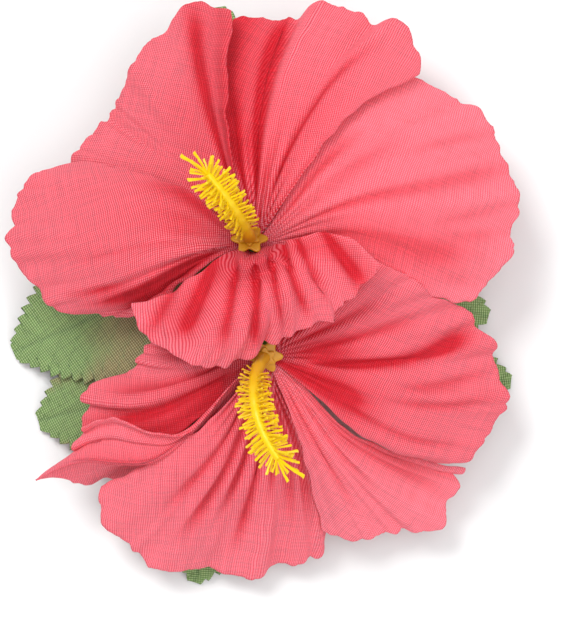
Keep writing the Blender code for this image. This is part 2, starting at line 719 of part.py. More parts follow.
def stamen(bloom, home, guides, finish):
    """Moulded yellow stamen column: star flange, bent stalk, brush of filaments and a peg."""
    name = f"{bloom}_stamen"
    line = stamen_line(bloom, np.linspace(0, 1, 13))
    drawing = bpy.data.curves.new(name, "CURVE")
    drawing.dimensions = "3D"
    drawing.bevel_depth = STALK_RADIUS
    drawing.bevel_resolution = 2
    drawing.use_fill_caps = True
    spline = drawing.splines.new("POLY")
    spline.points.add(len(line) - 1)
    for index, (point, place) in enumerate(zip(spline.points, line)):
        point.co = (*place, 1)
        point.radius = 1 - 0.35 * index / (len(line) - 1)
    source = bpy.data.objects.new(name + "_line", drawing)
    home.objects.link(source)
    made = mesh_from(source, name, home)
    made.data.materials.append(finish)
    made.data.shade_smooth()
    made.data.set_sharp_from_angle(angle=math.radians(40))
    foot = Vector(line[0])
    star = []
    for point in range(2 * STAR_POINTS):
        radius = FLANGE_RADIUS * (1 if point % 2 == 0 else 0.68)
        turn = point * math.pi / STAR_POINTS
        star.append((radius * math.cos(turn), radius * math.sin(turn)))
    flange = star_plate(name + "_flange", star, FLANGE_THICKNESS, guides)
    flange.location = foot + Vector((0, 0, FLANGE_THICKNESS * 0.3))
    low = (foot.x, foot.y, stem_foot(bloom) + BLOOMS[bloom]["calyx"] * MM + GAP)
    high = (foot.x, foot.y, foot.z + FLANGE_THICKNESS * 0.2)
    peg = rod(name + "_peg", STALK_RADIUS * 0.8, low, high, guides, sides=12)
    combine(made, "UNION", [flange, peg] + filaments(bloom, guides))
    return made


def star_plate(name, outline, thickness, home):
    """A flat plate square to Z, from a closed outline of points (x, y)."""
    shape = bmesh.new()
    face = shape.faces.new([shape.verts.new((x, y, -thickness / 2)) for x, y in outline])
    raised = bmesh.ops.extrude_face_region(shape, geom=[face])
    lifted = [part for part in raised["geom"] if isinstance(part, bmesh.types.BMVert)]
    bmesh.ops.translate(shape, verts=lifted, vec=(0, 0, thickness))
    bmesh.ops.recalc_face_normals(shape, faces=shape.faces)
    mesh = bpy.data.meshes.new(name)
    shape.to_mesh(mesh)
    shape.free()
    made = bpy.data.objects.new(name, mesh)
    home.objects.link(made)
    return made


# Assembly

def stand_on_table(parts, root):
    """Moves everything so that the footprint's centre is the origin and the lowest point is at zero."""
    bpy.context.view_layer.update()
    graph = bpy.context.evaluated_depsgraph_get()
    corners = []
    for part in parts:
        evaluated = part.evaluated_get(graph)
        mesh = evaluated.to_mesh()
        places = np.empty(len(mesh.vertices) * 3, dtype=np.float32)
        mesh.vertices.foreach_get("co", places)
        turned_places = places.reshape(-1, 3) @ np.array(part.matrix_world.to_3x3()).T
        corners.append(turned_places + np.array(part.matrix_world.translation))
        evaluated.to_mesh_clear()
    every = np.concatenate(corners)
    low = every.min(axis=0)
    high = every.max(axis=0)
    root.location = (-(low[0] + high[0]) / 2, -(low[1] + high[1]) / 2, -low[2])


def main():
    for old in list(bpy.data.objects):
        bpy.data.objects.remove(old)
    parts = collection("flower_hair_clip")
    guides = collection("guides")
    finishes = {name: material(name) for name in COLOURS}

    made = [
        upper_jaw(parts, guides, finishes["clip_plastic"]),
        leaf_spring(parts, finishes["spring_steel"]),
    ]
    for bloom in BLOOMS:
        made.append(calyx(bloom, parts, finishes["calyx_plastic"]))
        made.append(glue_bead(bloom, parts, guides, finishes["hot_glue"]))
        made.append(stamen(bloom, parts, guides, finishes["stamen_plastic"]))
    for name in PETALS:
        made.append(petal(name, parts, finishes["petal_fabric"]))
    for name in LEAVES:
        made.append(leaf(name, parts, finishes["leaf_fabric"]))

    root = bpy.data.objects.new("clip_root", None)
    parts.objects.link(root)
    hinge = bpy.data.objects.new("jaw_hinge", None)
    parts.objects.link(hinge)
    hinge.location = (0, PIVOT_Y, PIVOT_Z)
    hinge.parent = root
    moving = [
        lower_jaw(parts, guides, finishes["clip_plastic"]),
        hinge_pin(parts, finishes["spring_steel"]),
    ]
    stand_on_table(made + moving, root)
    for part in made:
        part.parent = root
    for guide in guides.all_objects:
        guide.parent = root
    for part in moving:
        part.parent = hinge
        part.matrix_parent_inverse = Matrix.Translation((0, -PIVOT_Y, -PIVOT_Z))


main()
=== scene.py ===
"""Looks of the flower hair clip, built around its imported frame.

Two hibiscus blooms of starched woven cloth, serrated cloth leaves, soft moulded stamens and calyxes, hot-melt
glue, and a glossy moulded beak clip with its rivet and leaf spring. Metres, +Z up; the blooms face +Z.
"""

import json
import math

import bpy
import numpy as np
from bpy.props import FloatProperty, FloatVectorProperty, IntProperty, PointerProperty
from bpy.types import Operator, Panel, PropertyGroup
from mathutils import Matrix, Vector, noise


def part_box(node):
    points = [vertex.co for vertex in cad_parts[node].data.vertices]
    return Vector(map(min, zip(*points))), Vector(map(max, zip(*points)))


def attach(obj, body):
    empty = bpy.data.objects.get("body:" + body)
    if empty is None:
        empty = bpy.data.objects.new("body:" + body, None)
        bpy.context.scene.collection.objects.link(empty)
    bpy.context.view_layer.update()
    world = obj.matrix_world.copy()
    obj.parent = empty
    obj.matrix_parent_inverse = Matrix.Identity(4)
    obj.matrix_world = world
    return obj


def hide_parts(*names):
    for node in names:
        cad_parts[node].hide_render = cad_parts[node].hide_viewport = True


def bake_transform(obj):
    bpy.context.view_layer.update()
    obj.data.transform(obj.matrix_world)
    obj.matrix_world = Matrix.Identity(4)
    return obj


bl_info = {
    "name": "Flower hair clip",
    "version": (1, 0, 0),
    "blender": (4, 5, 0),
    "location": "3D View > Sidebar > Flower clip",
    "description": "Cloth hibiscus blooms on a sprung beak clip",
    "category": "Object",
}

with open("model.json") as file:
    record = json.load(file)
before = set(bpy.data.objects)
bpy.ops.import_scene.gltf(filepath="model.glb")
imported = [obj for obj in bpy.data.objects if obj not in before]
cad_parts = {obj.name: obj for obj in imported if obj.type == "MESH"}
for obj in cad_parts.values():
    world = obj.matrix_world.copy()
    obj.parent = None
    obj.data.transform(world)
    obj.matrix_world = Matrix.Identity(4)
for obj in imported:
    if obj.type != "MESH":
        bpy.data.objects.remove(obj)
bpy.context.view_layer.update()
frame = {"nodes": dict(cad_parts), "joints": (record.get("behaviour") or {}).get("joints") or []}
HINGE = Vector(frame["joints"][0]["pos_m"])

MM = 0.001
BLOOM_BODY = "bloom_side"
LOWER_BODY = "lower_side"
# The hinge's place in the tables below, whose origin is the clip's own
TABLE_HINGE = Vector((0, 29.0, 12.3)) * MM
TABLE_SHIFT = HINGE - TABLE_HINGE

# Sizes of the solids that the cloth takes the place of, and where the cloth starts, under the stamen's flange
CLOTH_START = 1.2 * MM
SOLID_PETAL = 0.8 * MM
SOLID_LEAF = 0.7 * MM
SOLID_GAP = 0.3 * MM
CALYX_RADIUS = 4.9 * MM
STEM_RADIUS = 1.6 * MM
CALYX_NECK = 0.36
FLANGE_HEIGHT = 2.2 * MM
FLANGE_RADIUS = 4.4 * MM

# Petals in plan around their own throat. layer counts the petals that lie under it. low and high are the
# angles in degrees of its two side edges at thirds of its length. reach is the rim's distance in millimetres
# at even steps from one edge to the other, and rim adds bumps to it as (place, height, width). lift is the
# height above the throat at quarters of the length and at even steps from low to high. folds are valleys as
# (place at the throat, place at the rim, depth, width, start, end), with places as shares. curl turns a side
# edge up, as (share of the width, height), and brow is how high the cloth bulges just outside the throat. fan
# is how far behind the throat the folds would meet. pleats is how many there are, and how deep. shades are
# bands of painted shade, as (place at the throat, place at the rim, strength, width, start, end); the pleats
# and folds also paint shade into their valleys. tone scales a petal's whole colour: painted light and shade
# over the petal, partly a real difference in its dye.
PETALS = {
    "upper_left_petal": {
        "bloom": "upper", "layer": 3,
        "low": (144, 138, 147, 155),
        "high": (181, 204, 212, 208.5),
        "reach": (47.3, 55, 57.5, 56, 52.5, 44, 36.6),
        "rim": ((0.37, -1.8, 0.03), (0.43, 0.8, 0.02), (0.67, -2, 0.05), (0.81, 2.6, 0.05), (0.9, -1.5, 0.03)),
        "lift": ((1.7, 2.2, 0.2), (0.2, 2.2, -0.3), (-4.8, -2.8, -3.8), (-11.8, -11.8, -8.8)),
        "folds": (
            (0.7, 0.68, -1.8, 0.12, 0.05, 0.75), (0.9, 0.84, 1.2, 0.05, 0.08, 0.9),
            (0.5, 0.4, 0.5, 0.06, 0.08, 0.45), (0.3, 0.28, 0.45, 0.07, 0.1, 0.5),
            (0.62, 0.55, 0.9, 0.03, 0.15, 0.8), (0.8, 0.72, 1.2, 0.028, 0.12, 0.95),
            (0.95, 0.92, 1.2, 0.025, 0.2, 1.0),
        ),
        "shades": (
            (0.85, 0.9, 0.6, 0.12, 0.05, 0.95), (0.4, 0.5, 0.15, 0.5, 0.0, 0.6),
            (0.86, 0.8, 0.4, 0.03, 0.1, 0.95), (0.7, 0.64, 0.3, 0.03, 0.1, 0.75),
            (0.06, 0.05, 0.7, 0.1, 0.05, 0.65),
        ),
        "curl": {"high": (0.16, -2.2)},
        "pleats": (4, 0.35), "tone": 0.9, "ruffles": 3.5, "weave": 5,
    },
    "upper_top_left_petal": {
        "bloom": "upper", "layer": 2,
        "low": (106, 102.5, 99, 95),
        "high": (137, 145, 157, 164),
        "reach": (54.5, 58.6, 53.5, 48, 46, 47, 46),
        "rim": ((0.1, 1.2, 0.03), (0.25, -2.6, 0.04), (0.33, 0.8, 0.03)),
        "lift": ((2.8, 1.3, -0.2), (2.3, -0.7, -2.7), (-0.7, -5.7, -8.7), (-5.7, -13.7, -16.7)),
        "folds": (
            (0.16, 0.13, 1.5, 0.045, 0.1, 1.1), (0.45, 0.42, 0.6, 0.05, 0.08, 0.55),
            (0.7, 0.66, 0.9, 0.08, 0.05, 0.5),
        ),
        "shades": ((0.0, 0.02, 0.6, 0.06, 0.1, 1.2), (0.3, 0.2, 0.2, 0.25, 0.1, 0.9)),
        "curl": {"low": (0.09, 3.2)},
        "pleats": (5, 0.5), "tone": 0.9, "ruffles": 3, "weave": -20,
    },
    "upper_top_petal": {
        "bloom": "upper", "layer": 1,
        "low": (58, 56, 53.5, 46),
        "high": (100, 108, 107, 104),
        "reach": (55.5, 61.5, 61, 60.5, 58.8, 55, 54, 53.7, 53),
        "rim": (
            (0.57, -1.8, 0.03), (0.48, 0.6, 0.04), (0.28, -1.3, 0.03), (0.18, 1.9, 0.05), (0.03, 2, 0.04),
        ),
        "lift": ((3.9, 1.9, 0.9), (3.9, 0.9, -0.1), (-0.6, -3.6, -3.6), (-7.6, -10.6, -9.6)),
        "folds": (
            (0.6, 0.62, 2.2, 0.05, 0.1, 1.1), (0.34, 0.15, 1.0, 0.03, 0.1, 0.95),
            (0.8, 0.84, 0.9, 0.05, 0.06, 0.7), (0.48, 0.44, 0.6, 0.035, 0.08, 0.5),
        ),
        "shades": (
            (0.85, 0.84, 0.75, 0.17, 0.2, 1.3), (0.8, 0.8, 0.1, 0.12, 0.2, 1.3), (0.3, 0.1, 0.2, 0.1, 0.1, 0.8),
        ),
        "pleats": (9, 0.8), "tone": 1.0, "ruffles": 3, "weave": -12,
    },
    "upper_right_petal": {
        "bloom": "upper", "layer": 0,
        "low": (8, -5, -15, -14.5),
        "high": (51, 62, 60, 52),
        "reach": (52.7, 57.5, 62, 63, 63.5, 62.5, 60, 55.8, 54),
        "rim": (
            (0.68, 1, 0.04), (0.59, -0.8, 0.02), (0.46, -0.8, 0.02), (0.28, -1.7, 0.03), (0.2, 0.8, 0.03),
        ),
        "lift": ((1.5, 3.5, 2), (-0.5, 2.5, 1.5), (-4.5, -2.5, -3), (-10.5, -11.5, -10)),
        "folds": (
            (0.42, 0.48, 0.9, 0.035, 0.12, 1.1), (0.66, 0.6, 0.6, 0.02, 0.6, 1.1),
            (0.2, 0.36, 0.5, 0.022, 0.62, 1.1), (0.2, 0.27, 0.5, 0.022, 0.68, 1.1),
            (0.6, 0.72, 0.6, 0.04, 0.08, 0.75), (0.78, 0.86, 0.7, 0.035, 0.06, 0.7),
            (0.2, 0.18, 0.7, 0.05, 0.08, 0.9), (0.1, 0.08, 0.4, 0.02, 0.72, 1.1),
        ),
        "shades": ((0.2, 0.16, 0.55, 0.14, 0.1, 1.0), (0.9, 0.9, 0.25, 0.12, 0.05, 0.7)),
        "pleats": (8, 0.6), "tone": 1.14, "ruffles": 4, "weave": -12,
    },
    "upper_lip_petal": {
        "bloom": "upper", "layer": 4,
        "low": (-178, -158, -151, -155),
        "high": (3, 11.5, 7.5, -8),
        "reach": (31, 32, 30, 28, 22.3, 22.3, 22.5, 25.5, 29.5),
        "rim": ((0.76, 3.2, 0.035), (0.56, 1.3, 0.04), (0.48, -0.7, 0.03)),
        "lift": ((3.1, 7.1, 3.6), (4.6, 9.6, 5.6), (3.1, 7.1, 5.6), (0.1, 1.6, 4.6)),
        "folds": (
            (0.36, 0.34, 1.3, 0.024, 0.05, 0.9), (0.46, 0.46, 1.5, 0.024, 0.05, 1.0),
            (0.55, 0.56, 1.2, 0.02, 0.05, 0.95), (0.63, 0.66, 1.3, 0.022, 0.05, 1.0),
            (0.72, 0.76, 1.1, 0.022, 0.1, 0.9), (0.24, 0.2, 1.4, 0.03, 0.05, 0.95),
            (0.12, 0.1, 0.9, 0.025, 0.2, 1.1), (0.9, 0.9, 1.4, 0.03, 0.3, 1.1),
        ),
        "shades": (
            (0.5, 0.5, 0.3, 0.6, -0.3, 0.5), (0.08, 0.1, 0.4, 0.08, 0.1, 1.0), (0.93, 0.93, 0.4, 0.05, 0.2, 1.2),
        ),
        "curl": {"high": (0.06, 1.5)},
        "brow": 8.5, "fan": 26.0,
        "pleats": (5, 0.3), "tone": 1.0, "ruffles": 5, "weave": 12,
    },
    "lower_right_petal": {
        "bloom": "lower", "layer": 4,
        "low": (-34, -38, -38.5, -30),
        "high": (48, 50, 50, 46),
        "reach": (50.5, 55.4, 57.2, 54.2, 50.5, 44, 39, 35.5, 33.5),
        "rim": (
            (0.04, 2.2, 0.03), (0.26, 0.9, 0.03), (0.3, -0.8, 0.02), (0.43, 1.7, 0.03), (0.57, 1.4, 0.04),
            (0.65, -0.9, 0.03),
        ),
        "lift": (
            (-1.9, -2.9, -3.4, -2.9, -1.9), (-4.9, -5.9, -4.9, -2.4, 0.1),
            (-10.9, -12.4, -9.9, -1.9, 2.6), (-19.4, -20.4, -15.4, -3.4, 4.1),
        ),
        "folds": (
            (0.3, 0.5, 2.0, 0.03, 0.12, 1.05), (0.52, 0.62, 0.8, 0.025, 0.1, 0.85),
            (0.68, 0.74, 0.9, 0.03, 0.1, 0.8), (0.84, 0.88, 0.9, 0.03, 0.1, 0.9),
            (0.2, 0.36, 0.7, 0.02, 0.5, 1.05), (0.16, 0.28, 0.7, 0.02, 0.45, 1.05),
            (0.14, 0.16, 1.9, 0.05, 0.03, 0.5), (0.08, 0.1, 0.7, 0.02, 0.3, 1.0),
        ),
        "shades": (
            (0.45, 0.52, 0.8, 0.16, 0.0, 0.55), (0.14, 0.1, 1.0, 0.12, -0.3, 0.6),
            (0.95, 0.95, 0.4, 0.07, 0.3, 1.2),
        ),
        "curl": {"high": (0.05, 1.8)},
        "pleats": (9, 0.7), "tone": 0.98, "ruffles": 5, "weave": -28,
    },
    "lower_bottom_right_petal": {
        "bloom": "lower", "layer": 3,
        "low": (-62, -66, -69.5, -72),
        "high": (-30, -34, -39.5, -42, -41, -38, -35, -32, -29),
        "reach": (43.5, 48.3, 50, 53.5, 57.5, 55.2, 54),
        "rim": ((0.64, 0.8, 0.04), (0.78, -1, 0.04), (0.93, -2.4, 0.025)),
        "lift": ((-1.8, -3.3, -4.3), (-6.3, -8.3, -8.3), (-14.3, -16.3, -15.8), (-23.3, -25.3, -24.3)),
        "folds": (
            (0.3, 0.3, 0.8, 0.05, 0.1, 0.9), (0.6, 0.55, 0.8, 0.05, 0.1, 0.8), (0.8, 0.85, 0.9, 0.05, 0.3, 1.05),
        ),
        "shades": ((0.95, 0.96, 0.7, 0.12, 0.1, 1.0), (0.2, 0.1, 0.3, 0.2, 0.0, 0.6)),
        "pleats": (5, 0.8), "tone": 1.17, "ruffles": 3, "weave": -35,
    },
    "lower_bottom_petal": {
        "bloom": "lower", "layer": 2,
        "low": (-124, -130, -136.5, -141.3),
        "high": (-67, -61, -64, -68),
        "reach": (47.5, 53.9, 55, 55.5, 53, 53, 50.3, 50.5, 44.8),
        "rim": (
            (0.02, 2.6, 0.03), (0.09, 2.6, 0.05), (0.3, 1.9, 0.04), (0.46, -1.7, 0.04), (0.87, -2.2, 0.02),
            (0.96, -3, 0.03),
        ),
        "lift": ((-0.7, -3.7, -3.7), (-3.7, -9.7, -9.7), (-9.2, -18.7, -17.7), (-17.7, -28.2, -27.2)),
        "folds": (
            (0.24, 0.2, 1.1, 0.03, 0.08, 0.85), (0.36, 0.33, 1.5, 0.028, 0.08, 0.9),
            (0.46, 0.43, 1.7, 0.026, 0.08, 0.8), (0.56, 0.55, 1.6, 0.026, 0.08, 0.95),
            (0.66, 0.66, 1.1, 0.03, 0.08, 0.72), (0.76, 0.78, 1.0, 0.03, 0.08, 0.85),
            (0.86, 0.88, 0.9, 0.03, 0.08, 0.9),
        ),
        "shades": ((0.5, 0.5, 0.2, 0.5, -0.2, 0.5),),
        "pleats": (11, 1.5), "tone": 1.08, "ruffles": 4, "weave": 4,
    },
    "lower_left_petal": {
        "bloom": "lower", "layer": 1,
        "low": (-147, -143, -140, -138, -137, -137, -140, -149, -157, -159.5, -159),
        "high": (-130, -127, -133, -137),
        "reach": (46, 48.5, 60.5, 55.5, 51, 46, 42),
        "rim": ((0.26, -5.5, 0.045), (0.34, 0.8, 0.03), (0.48, -1.5, 0.05)),
        "lift": ((0.4, -2.1, -4.5), (-0.6, -5.1, -9.7), (-3.6, -11.1, -17.6), (-10.6, -20.1, -27.1)),
        "folds": ((0.35, 0.36, 0.9, 0.06, 0.3, 1.05), (0.65, 0.66, 0.6, 0.06, 0.2, 0.9)),
        "shades": ((0.9, 0.95, 0.6, 0.15, 0.0, 0.9), (0.1, 0.05, 0.2, 0.2, 0.0, 0.8)),
        "curl": {"low": (0.12, 1.2)},
        "pleats": (3, 0.5), "tone": 1.06, "ruffles": 2.5, "weave": 25,
    },
    "lower_upper_left_petal": {
        "bloom": "lower", "layer": 0,
        "low": (125, 140, 150, 155),
        "high": (215, 225, 222, 216, 205.5),
        "reach": (30, 28.5, 27, 27.5, 28.8, 36, 42.2, 45.3, 45.5),
        "rim": (
            (0.57, -2.6, 0.04), (0.63, -2.8, 0.03), (0.68, 2.3, 0.03), (0.74, 1.4, 0.03), (0.8, -1.2, 0.03),
        ),
        "lift": ((3.5, 2.5, -1.5), (4.5, 1.5, -3.5), (3.5, -2.5, -6.5), (1.5, -7.5, -11.5)),
        "folds": (
            (0.4, 0.45, 0.9, 0.035, 0.12, 1.0), (0.62, 0.68, 1.0, 0.035, 0.12, 1.0),
            (0.8, 0.84, 1.2, 0.035, 0.12, 0.95),
        ),
        "shades": ((0.95, 0.97, 0.9, 0.16, 0.1, 1.1), (0.5, 0.5, 0.2, 0.4, 0.0, 0.6)),
        "curl": {"high": (0.06, 1.0)},
        "pleats": (5, 0.6), "tone": 0.94, "ruffles": 4, "weave": 18,
    },
}

# Leaves: bloom whose stem they grow from, plan place of the tip, its height, the full width, and how far the
# middle of the blade stands above a straight line, in millimetres; teeth along each side; and how far the
# brown air-brushed band reaches from the root, as a share
LEAVES = {
    "left_upper_leaf": {
        "bloom": "upper", "tip": (-60.0, -13.5), "height": 1.2,
        "width": 34, "arch": 4.0, "teeth": 22, "band": 0.68,
    },
    "left_lower_leaf": {
        "bloom": "lower", "tip": (-54.0, -30.0), "height": 0.8,
        "width": 33, "arch": 1.5, "teeth": 20, "band": 0.78,
    },
    "bottom_leaf": {
        "bloom": "lower", "tip": (-17.0, -68.3), "height": 0.8,
        "width": 26, "arch": 0.0, "teeth": 18, "band": 0.6,
    },
    "right_upper_leaf": {
        "bloom": "upper", "tip": (53.0, -5.0), "height": 6.0,
        "width": 26, "arch": 4.5, "teeth": 19, "band": 0.6,
    },
    "right_lower_leaf": {
        "bloom": "lower", "tip": (58.6, -20.5), "height": 0.8,
        "width": 25, "arch": -1.0, "teeth": 18, "band": 0.6,
    },
    "top_leaf": {
        "bloom": "upper", "tip": (-11.0, 68.4), "height": 9.0,
        "width": 24, "arch": 4.0, "teeth": 18, "band": 0.6,
    },
}
LEAF_SHAPE = (0.1, 0.16, 0.62, 0.95, 1.0, 0.86, 0.55, 0.12)
LEAF_FOLD = 1.2 * MM

# Stamen columns: flange beside the throat's centre, plan offset of the tip from the flange, rise, and how far
# the middle bows up and sways to the side, in millimetres; and how far the flange leans over, in degrees
STAMENS = {
    "upper": {
        "flange": (-0.7, 2.0), "tip": (-9.6, 14.6), "rise": 21.0,
        "bow": 3.0, "sway": (0.7, 0.4), "lean": -36,
    },
    "lower": {
        "flange": (0.0, 0.0), "tip": (3.2, -23.5), "rise": 15.0,
        "bow": 4.0, "sway": (-3.6, -0.8), "lean": 24,
    },
}

# What the camera sees: its target, how much of the table fits in its height, and the lights around it as
# (place in metres, watts, size)
VIEW_TARGET = Vector((7.5, -6.1, 38)) * MM
VIEW_HEIGHT = 149.8 * MM
LIGHTS = {
    "key_softbox": ((-0.5, 0.7, 1.4), 15, 0.6),
    "top_softbox": ((0.3, 0.2, 2.3), 15, 1.4),
    "fill_softbox": ((0.8, -0.9, 1.3), 9.5, 1.2),
}
SOFT_EDGE = math.radians(50)

# A calyx's profile: shares of its stem's and its cup's radius, and of its height
CALYX_STEM = ((1, 0), (1.02, 0.14), (1, 0.28), (1.25, 0.36))
CALYX_CUP = (
    (0.45, 0.42), (0.62, 0.5), (0.78, 0.6), (0.88, 0.72), (0.96, 0.84), (1, 0.94), (0.96, 1), (0.82, 0.985),
    (0.7, 0.93), (0.3, 0.9),
)

# The spring's centre line as millimetres behind and above the hinge
SPRING_LINE = (
    (9.4, -8.2), (7.4, -5.4), (4.0, -3.2), (-0.4, -2.9), (-3.4, -1.9), (-4.6, 0.2), (-3.4, 2.4), (-0.6, 3.4),
    (2.6, 3.7),
)


# Numbers and places

def linear(hex_colour):
    """Linear RGB of an sRGB colour written as #rrggbb."""
    parts = [int(hex_colour[index:index + 2], 16) / 255 for index in (1, 3, 5)]
    return tuple(part / 12.92 if part <= 0.04045 else ((part + 0.055) / 1.055) ** 2.4 for part in parts)


def smooth(values, places):
    """A Catmull-Rom curve through evenly spaced values, read at places from 0 to 1."""
    values = np.asarray(values, dtype=float)
    first = 2 * values[:1] - values[1:2]
    last = 2 * values[-1:] - values[-2:-1]
    padded = np.concatenate([first, values, last])
    at = np.clip(np.asarray(places, dtype=float), 0, 1) * (len(values) - 1)
    index = np.minimum(at.astype(int), len(values) - 2)
    part = at - index
    if values.ndim > 1:
        part = part[..., None]
    a, b, c, d = (padded[index + step] for step in range(4))
    return b + 0.5 * part * (c - a + part * (2 * a - 5 * b + 4 * c - d + part * (3 * (b - c) + d - a)))


def ease(start, end, values):
    """0 before start, 1 after end, and a smooth step between them."""
    part = np.clip((values - start) / (end - start), 0, 1)
    return part * part * (3 - 2 * part)


def wavy(values, seed, pitch):
    """Gentle noise from -1 to 1 along a list of places, with waves about a pitch long."""
    return np.array([noise.noise(Vector((value / pitch, seed * 7.31, 0.5))) for value in values]) * 2


def calyx_top(bloom):
    """The middle of a calyx's upper face."""
    low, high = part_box(bloom + "_calyx")
    return Vector(((low.x + high.x) / 2, (low.y + high.y) / 2, high.z))


def throat(bloom):
    """The point that a bloom's petals grow from."""
    return calyx_top(bloom) + Vector((0, 0, SOLID_GAP + SOLID_PETAL / 2))


def stamen_line(bloom, places):
    """Points of a stamen column's centre line, from its flange to its tip."""
    design = STAMENS[bloom]
    foot = throat(bloom) + Vector((*design["flange"], 0)) * MM
    start = np.array((foot.x, foot.y, foot.z + SOLID_PETAL / 2 + FLANGE_HEIGHT))
    reach = np.array((*design["tip"], 0)) * MM
    places = np.asarray(places, dtype=float)[:, None]
    rise = np.array((0, 0, design["rise"] * MM))
    bow = np.array((*design["sway"], design["bow"])) * MM
    return start + reach * places ** 1.25 + rise * places + bow * 4 * places * (1 - places)


# Objects

def choose(piece):
    """Leaves object mode with one object selected and active."""
    if bpy.context.object and bpy.context.object.mode != "OBJECT":
        bpy.ops.object.mode_set(mode="OBJECT")
    bpy.ops.object.select_all(action="DESELECT")
    piece.select_set(True)
    bpy.context.view_layer.objects.active = piece


def apply_modifiers(piece):
    choose(piece)
    for modifier in list(piece.modifiers):
        bpy.ops.object.modifier_apply(modifier=modifier.name)


def place_piece(piece, finish, body, slot, *nodes):
    """Gives a piece its material, puts it under its body and hides the nodes that it stands for; slot is not
    used.
    """
    piece.data.materials.clear()
    piece.data.materials.append(finish)
    choose(piece)
    bpy.ops.object.transform_apply(location=True, rotation=True, scale=True)
    if body:
        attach(piece, body)
    if nodes:
        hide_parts(*nodes)


def soften(piece, width):
    """Rounds a piece's sharp edges."""
    soft = piece.modifiers.new("soft", "BEVEL")
    soft.width = width
    soft.segments = 2
    soft.limit_method = "ANGLE"
    apply_modifiers(piece)


def copy_turned(template, turn):
    """A copy of a template with its own mesh, turned and moved into place."""
    copy = template.copy()
    copy.data = template.data.copy()
    copy.data.transform(turn)
    bpy.context.scene.collection.objects.link(copy)
    return copy


def join_pieces(first, others):
    """Joins copies into one piece."""
    choose(first)
    for other in others:
        other.select_set(True)
    bpy.ops.object.join()
    return first


def turned_piece(name, profile, segments, closed=False):
    """A ring pulled up step by step along a profile of (radius, height), about the Z axis."""
    radius, height = profile[0]
    bpy.ops.object.select_all(action="DESELECT")
    bpy.ops.mesh.primitive_circle_add(vertices=segments, radius=radius, location=(0, 0, height))
    piece = bpy.context.object
    piece.name = name
    bpy.ops.object.transform_apply(location=True)
    bpy.ops.object.mode_set(mode="EDIT")
    bpy.ops.mesh.select_all(action="SELECT")
    if not closed:
        bpy.ops.mesh.edge_face_add()
    for next_radius, next_height in profile[1:]:
        lift = (0, 0, next_height - height)
        bpy.ops.mesh.extrude_region_move(TRANSFORM_OT_translate={"value": lift})
        share = next_radius / radius
        bpy.ops.transform.resize(value=(share, share, 1), center_override=(0, 0, next_height))
        radius, height = next_radius, next_height
    if closed:
        bpy.ops.mesh.select_all(action="DESELECT")
        bpy.ops.mesh.select_non_manifold()
        bpy.ops.mesh.bridge_edge_loops()
    bpy.ops.mesh.select_all(action="SELECT")
    bpy.ops.mesh.normals_make_consistent(inside=False)
    bpy.ops.object.mode_set(mode="OBJECT")
    bpy.ops.object.shade_smooth_by_angle(angle=SOFT_EDGE)
    return piece


def cloth_piece(name, grid, flat, attributes, thickness):
    """A sheet of cloth from a grid of points, with its flat cut as its UV map in millimetres."""
    rows, columns = grid.shape[:2]
    index = np.arange(rows * columns).reshape(rows, columns)
    corners = (index[:-1, :-1], index[1:, :-1], index[1:, 1:], index[:-1, 1:])
    faces = np.stack([corner.ravel() for corner in corners], axis=1)
    mesh = bpy.data.meshes.new(name)
    mesh.from_pydata(grid.reshape(-1, 3).tolist(), [], faces.tolist())
    cut = mesh.uv_layers.new(name="cloth")
    cut.data.foreach_set("uv", (flat.reshape(-1, 2)[faces.ravel()] / MM).astype(np.float32).ravel())
    for label, values in attributes.items():
        layer = mesh.attributes.new(label, "FLOAT", "POINT")
        layer.data.foreach_set("value", np.broadcast_to(values, (rows, columns)).astype(np.float32).ravel())
    piece = bpy.data.objects.new(name, mesh)
    bpy.context.scene.collection.objects.link(piece)
    wall = piece.modifiers.new("cloth", "SOLIDIFY")
    wall.thickness = thickness
    wall.offset = 0
    apply_modifiers(piece)
    bpy.ops.object.shade_smooth()
    return piece


# Materials

# A Mix node's sockets for two colours and their mixture. A Map Range node's inputs are its value, the two ends
# it maps from, and the two it maps to
FIRST, SECOND, MIXED = 6, 7, 2


def add_node(tree, kind, settings=(), links=(), out=0):
    """Adds a node, sets its properties and input values, links its inputs, and gives one of its outputs."""
    node = tree.nodes.new("ShaderNode" + kind)
    for key, value in dict(settings).items():
        if isinstance(key, int) or key in node.inputs:
            node.inputs[key].default_value = value
        else:
            setattr(node, key, value)
    for key, source in dict(links).items():
        tree.links.new(source, node.inputs[key])
    return node.outputs[out] if node.outputs else None


def new_material(name):
    """A named material, and its tree, which is empty."""
    made = bpy.data.materials.new(name)
    made.use_nodes = True
    made.node_tree.nodes.clear()
    return made, made.node_tree


def finished(made, settings, links=()):
    """Ends a material in its shader and output."""
    shader = add_node(made.node_tree, "BsdfPrincipled", settings, links)
    add_node(made.node_tree, "OutputMaterial", links={"Surface": shader})
    return made


def layered(tree, base, layers):
    """Lays colours over a base colour one after another, each by its own share: dyes, and on the petals also
    painted shade and painted highlights.
    """
    for share, dye_and_painted_light in layers:
        settings, links = {"data_type": "RGBA", SECOND: (*dye_and_painted_light, 1)}, {0: share}
        if isinstance(base, bpy.types.NodeSocket):
            links[FIRST] = base
        else:
            settings[FIRST] = (*base, 1)
        base = add_node(tree, "Mix", settings, links, MIXED)
    return base


def cloudy(tree, scale, detail):
    """Noise all through a solid, whose clouds are about 1 / scale metres across."""
    place = add_node(tree, "TexCoord", out="Object")
    return add_node(tree, "TexNoise", {"Scale": scale, "Detail": detail}, {"Vector": place})


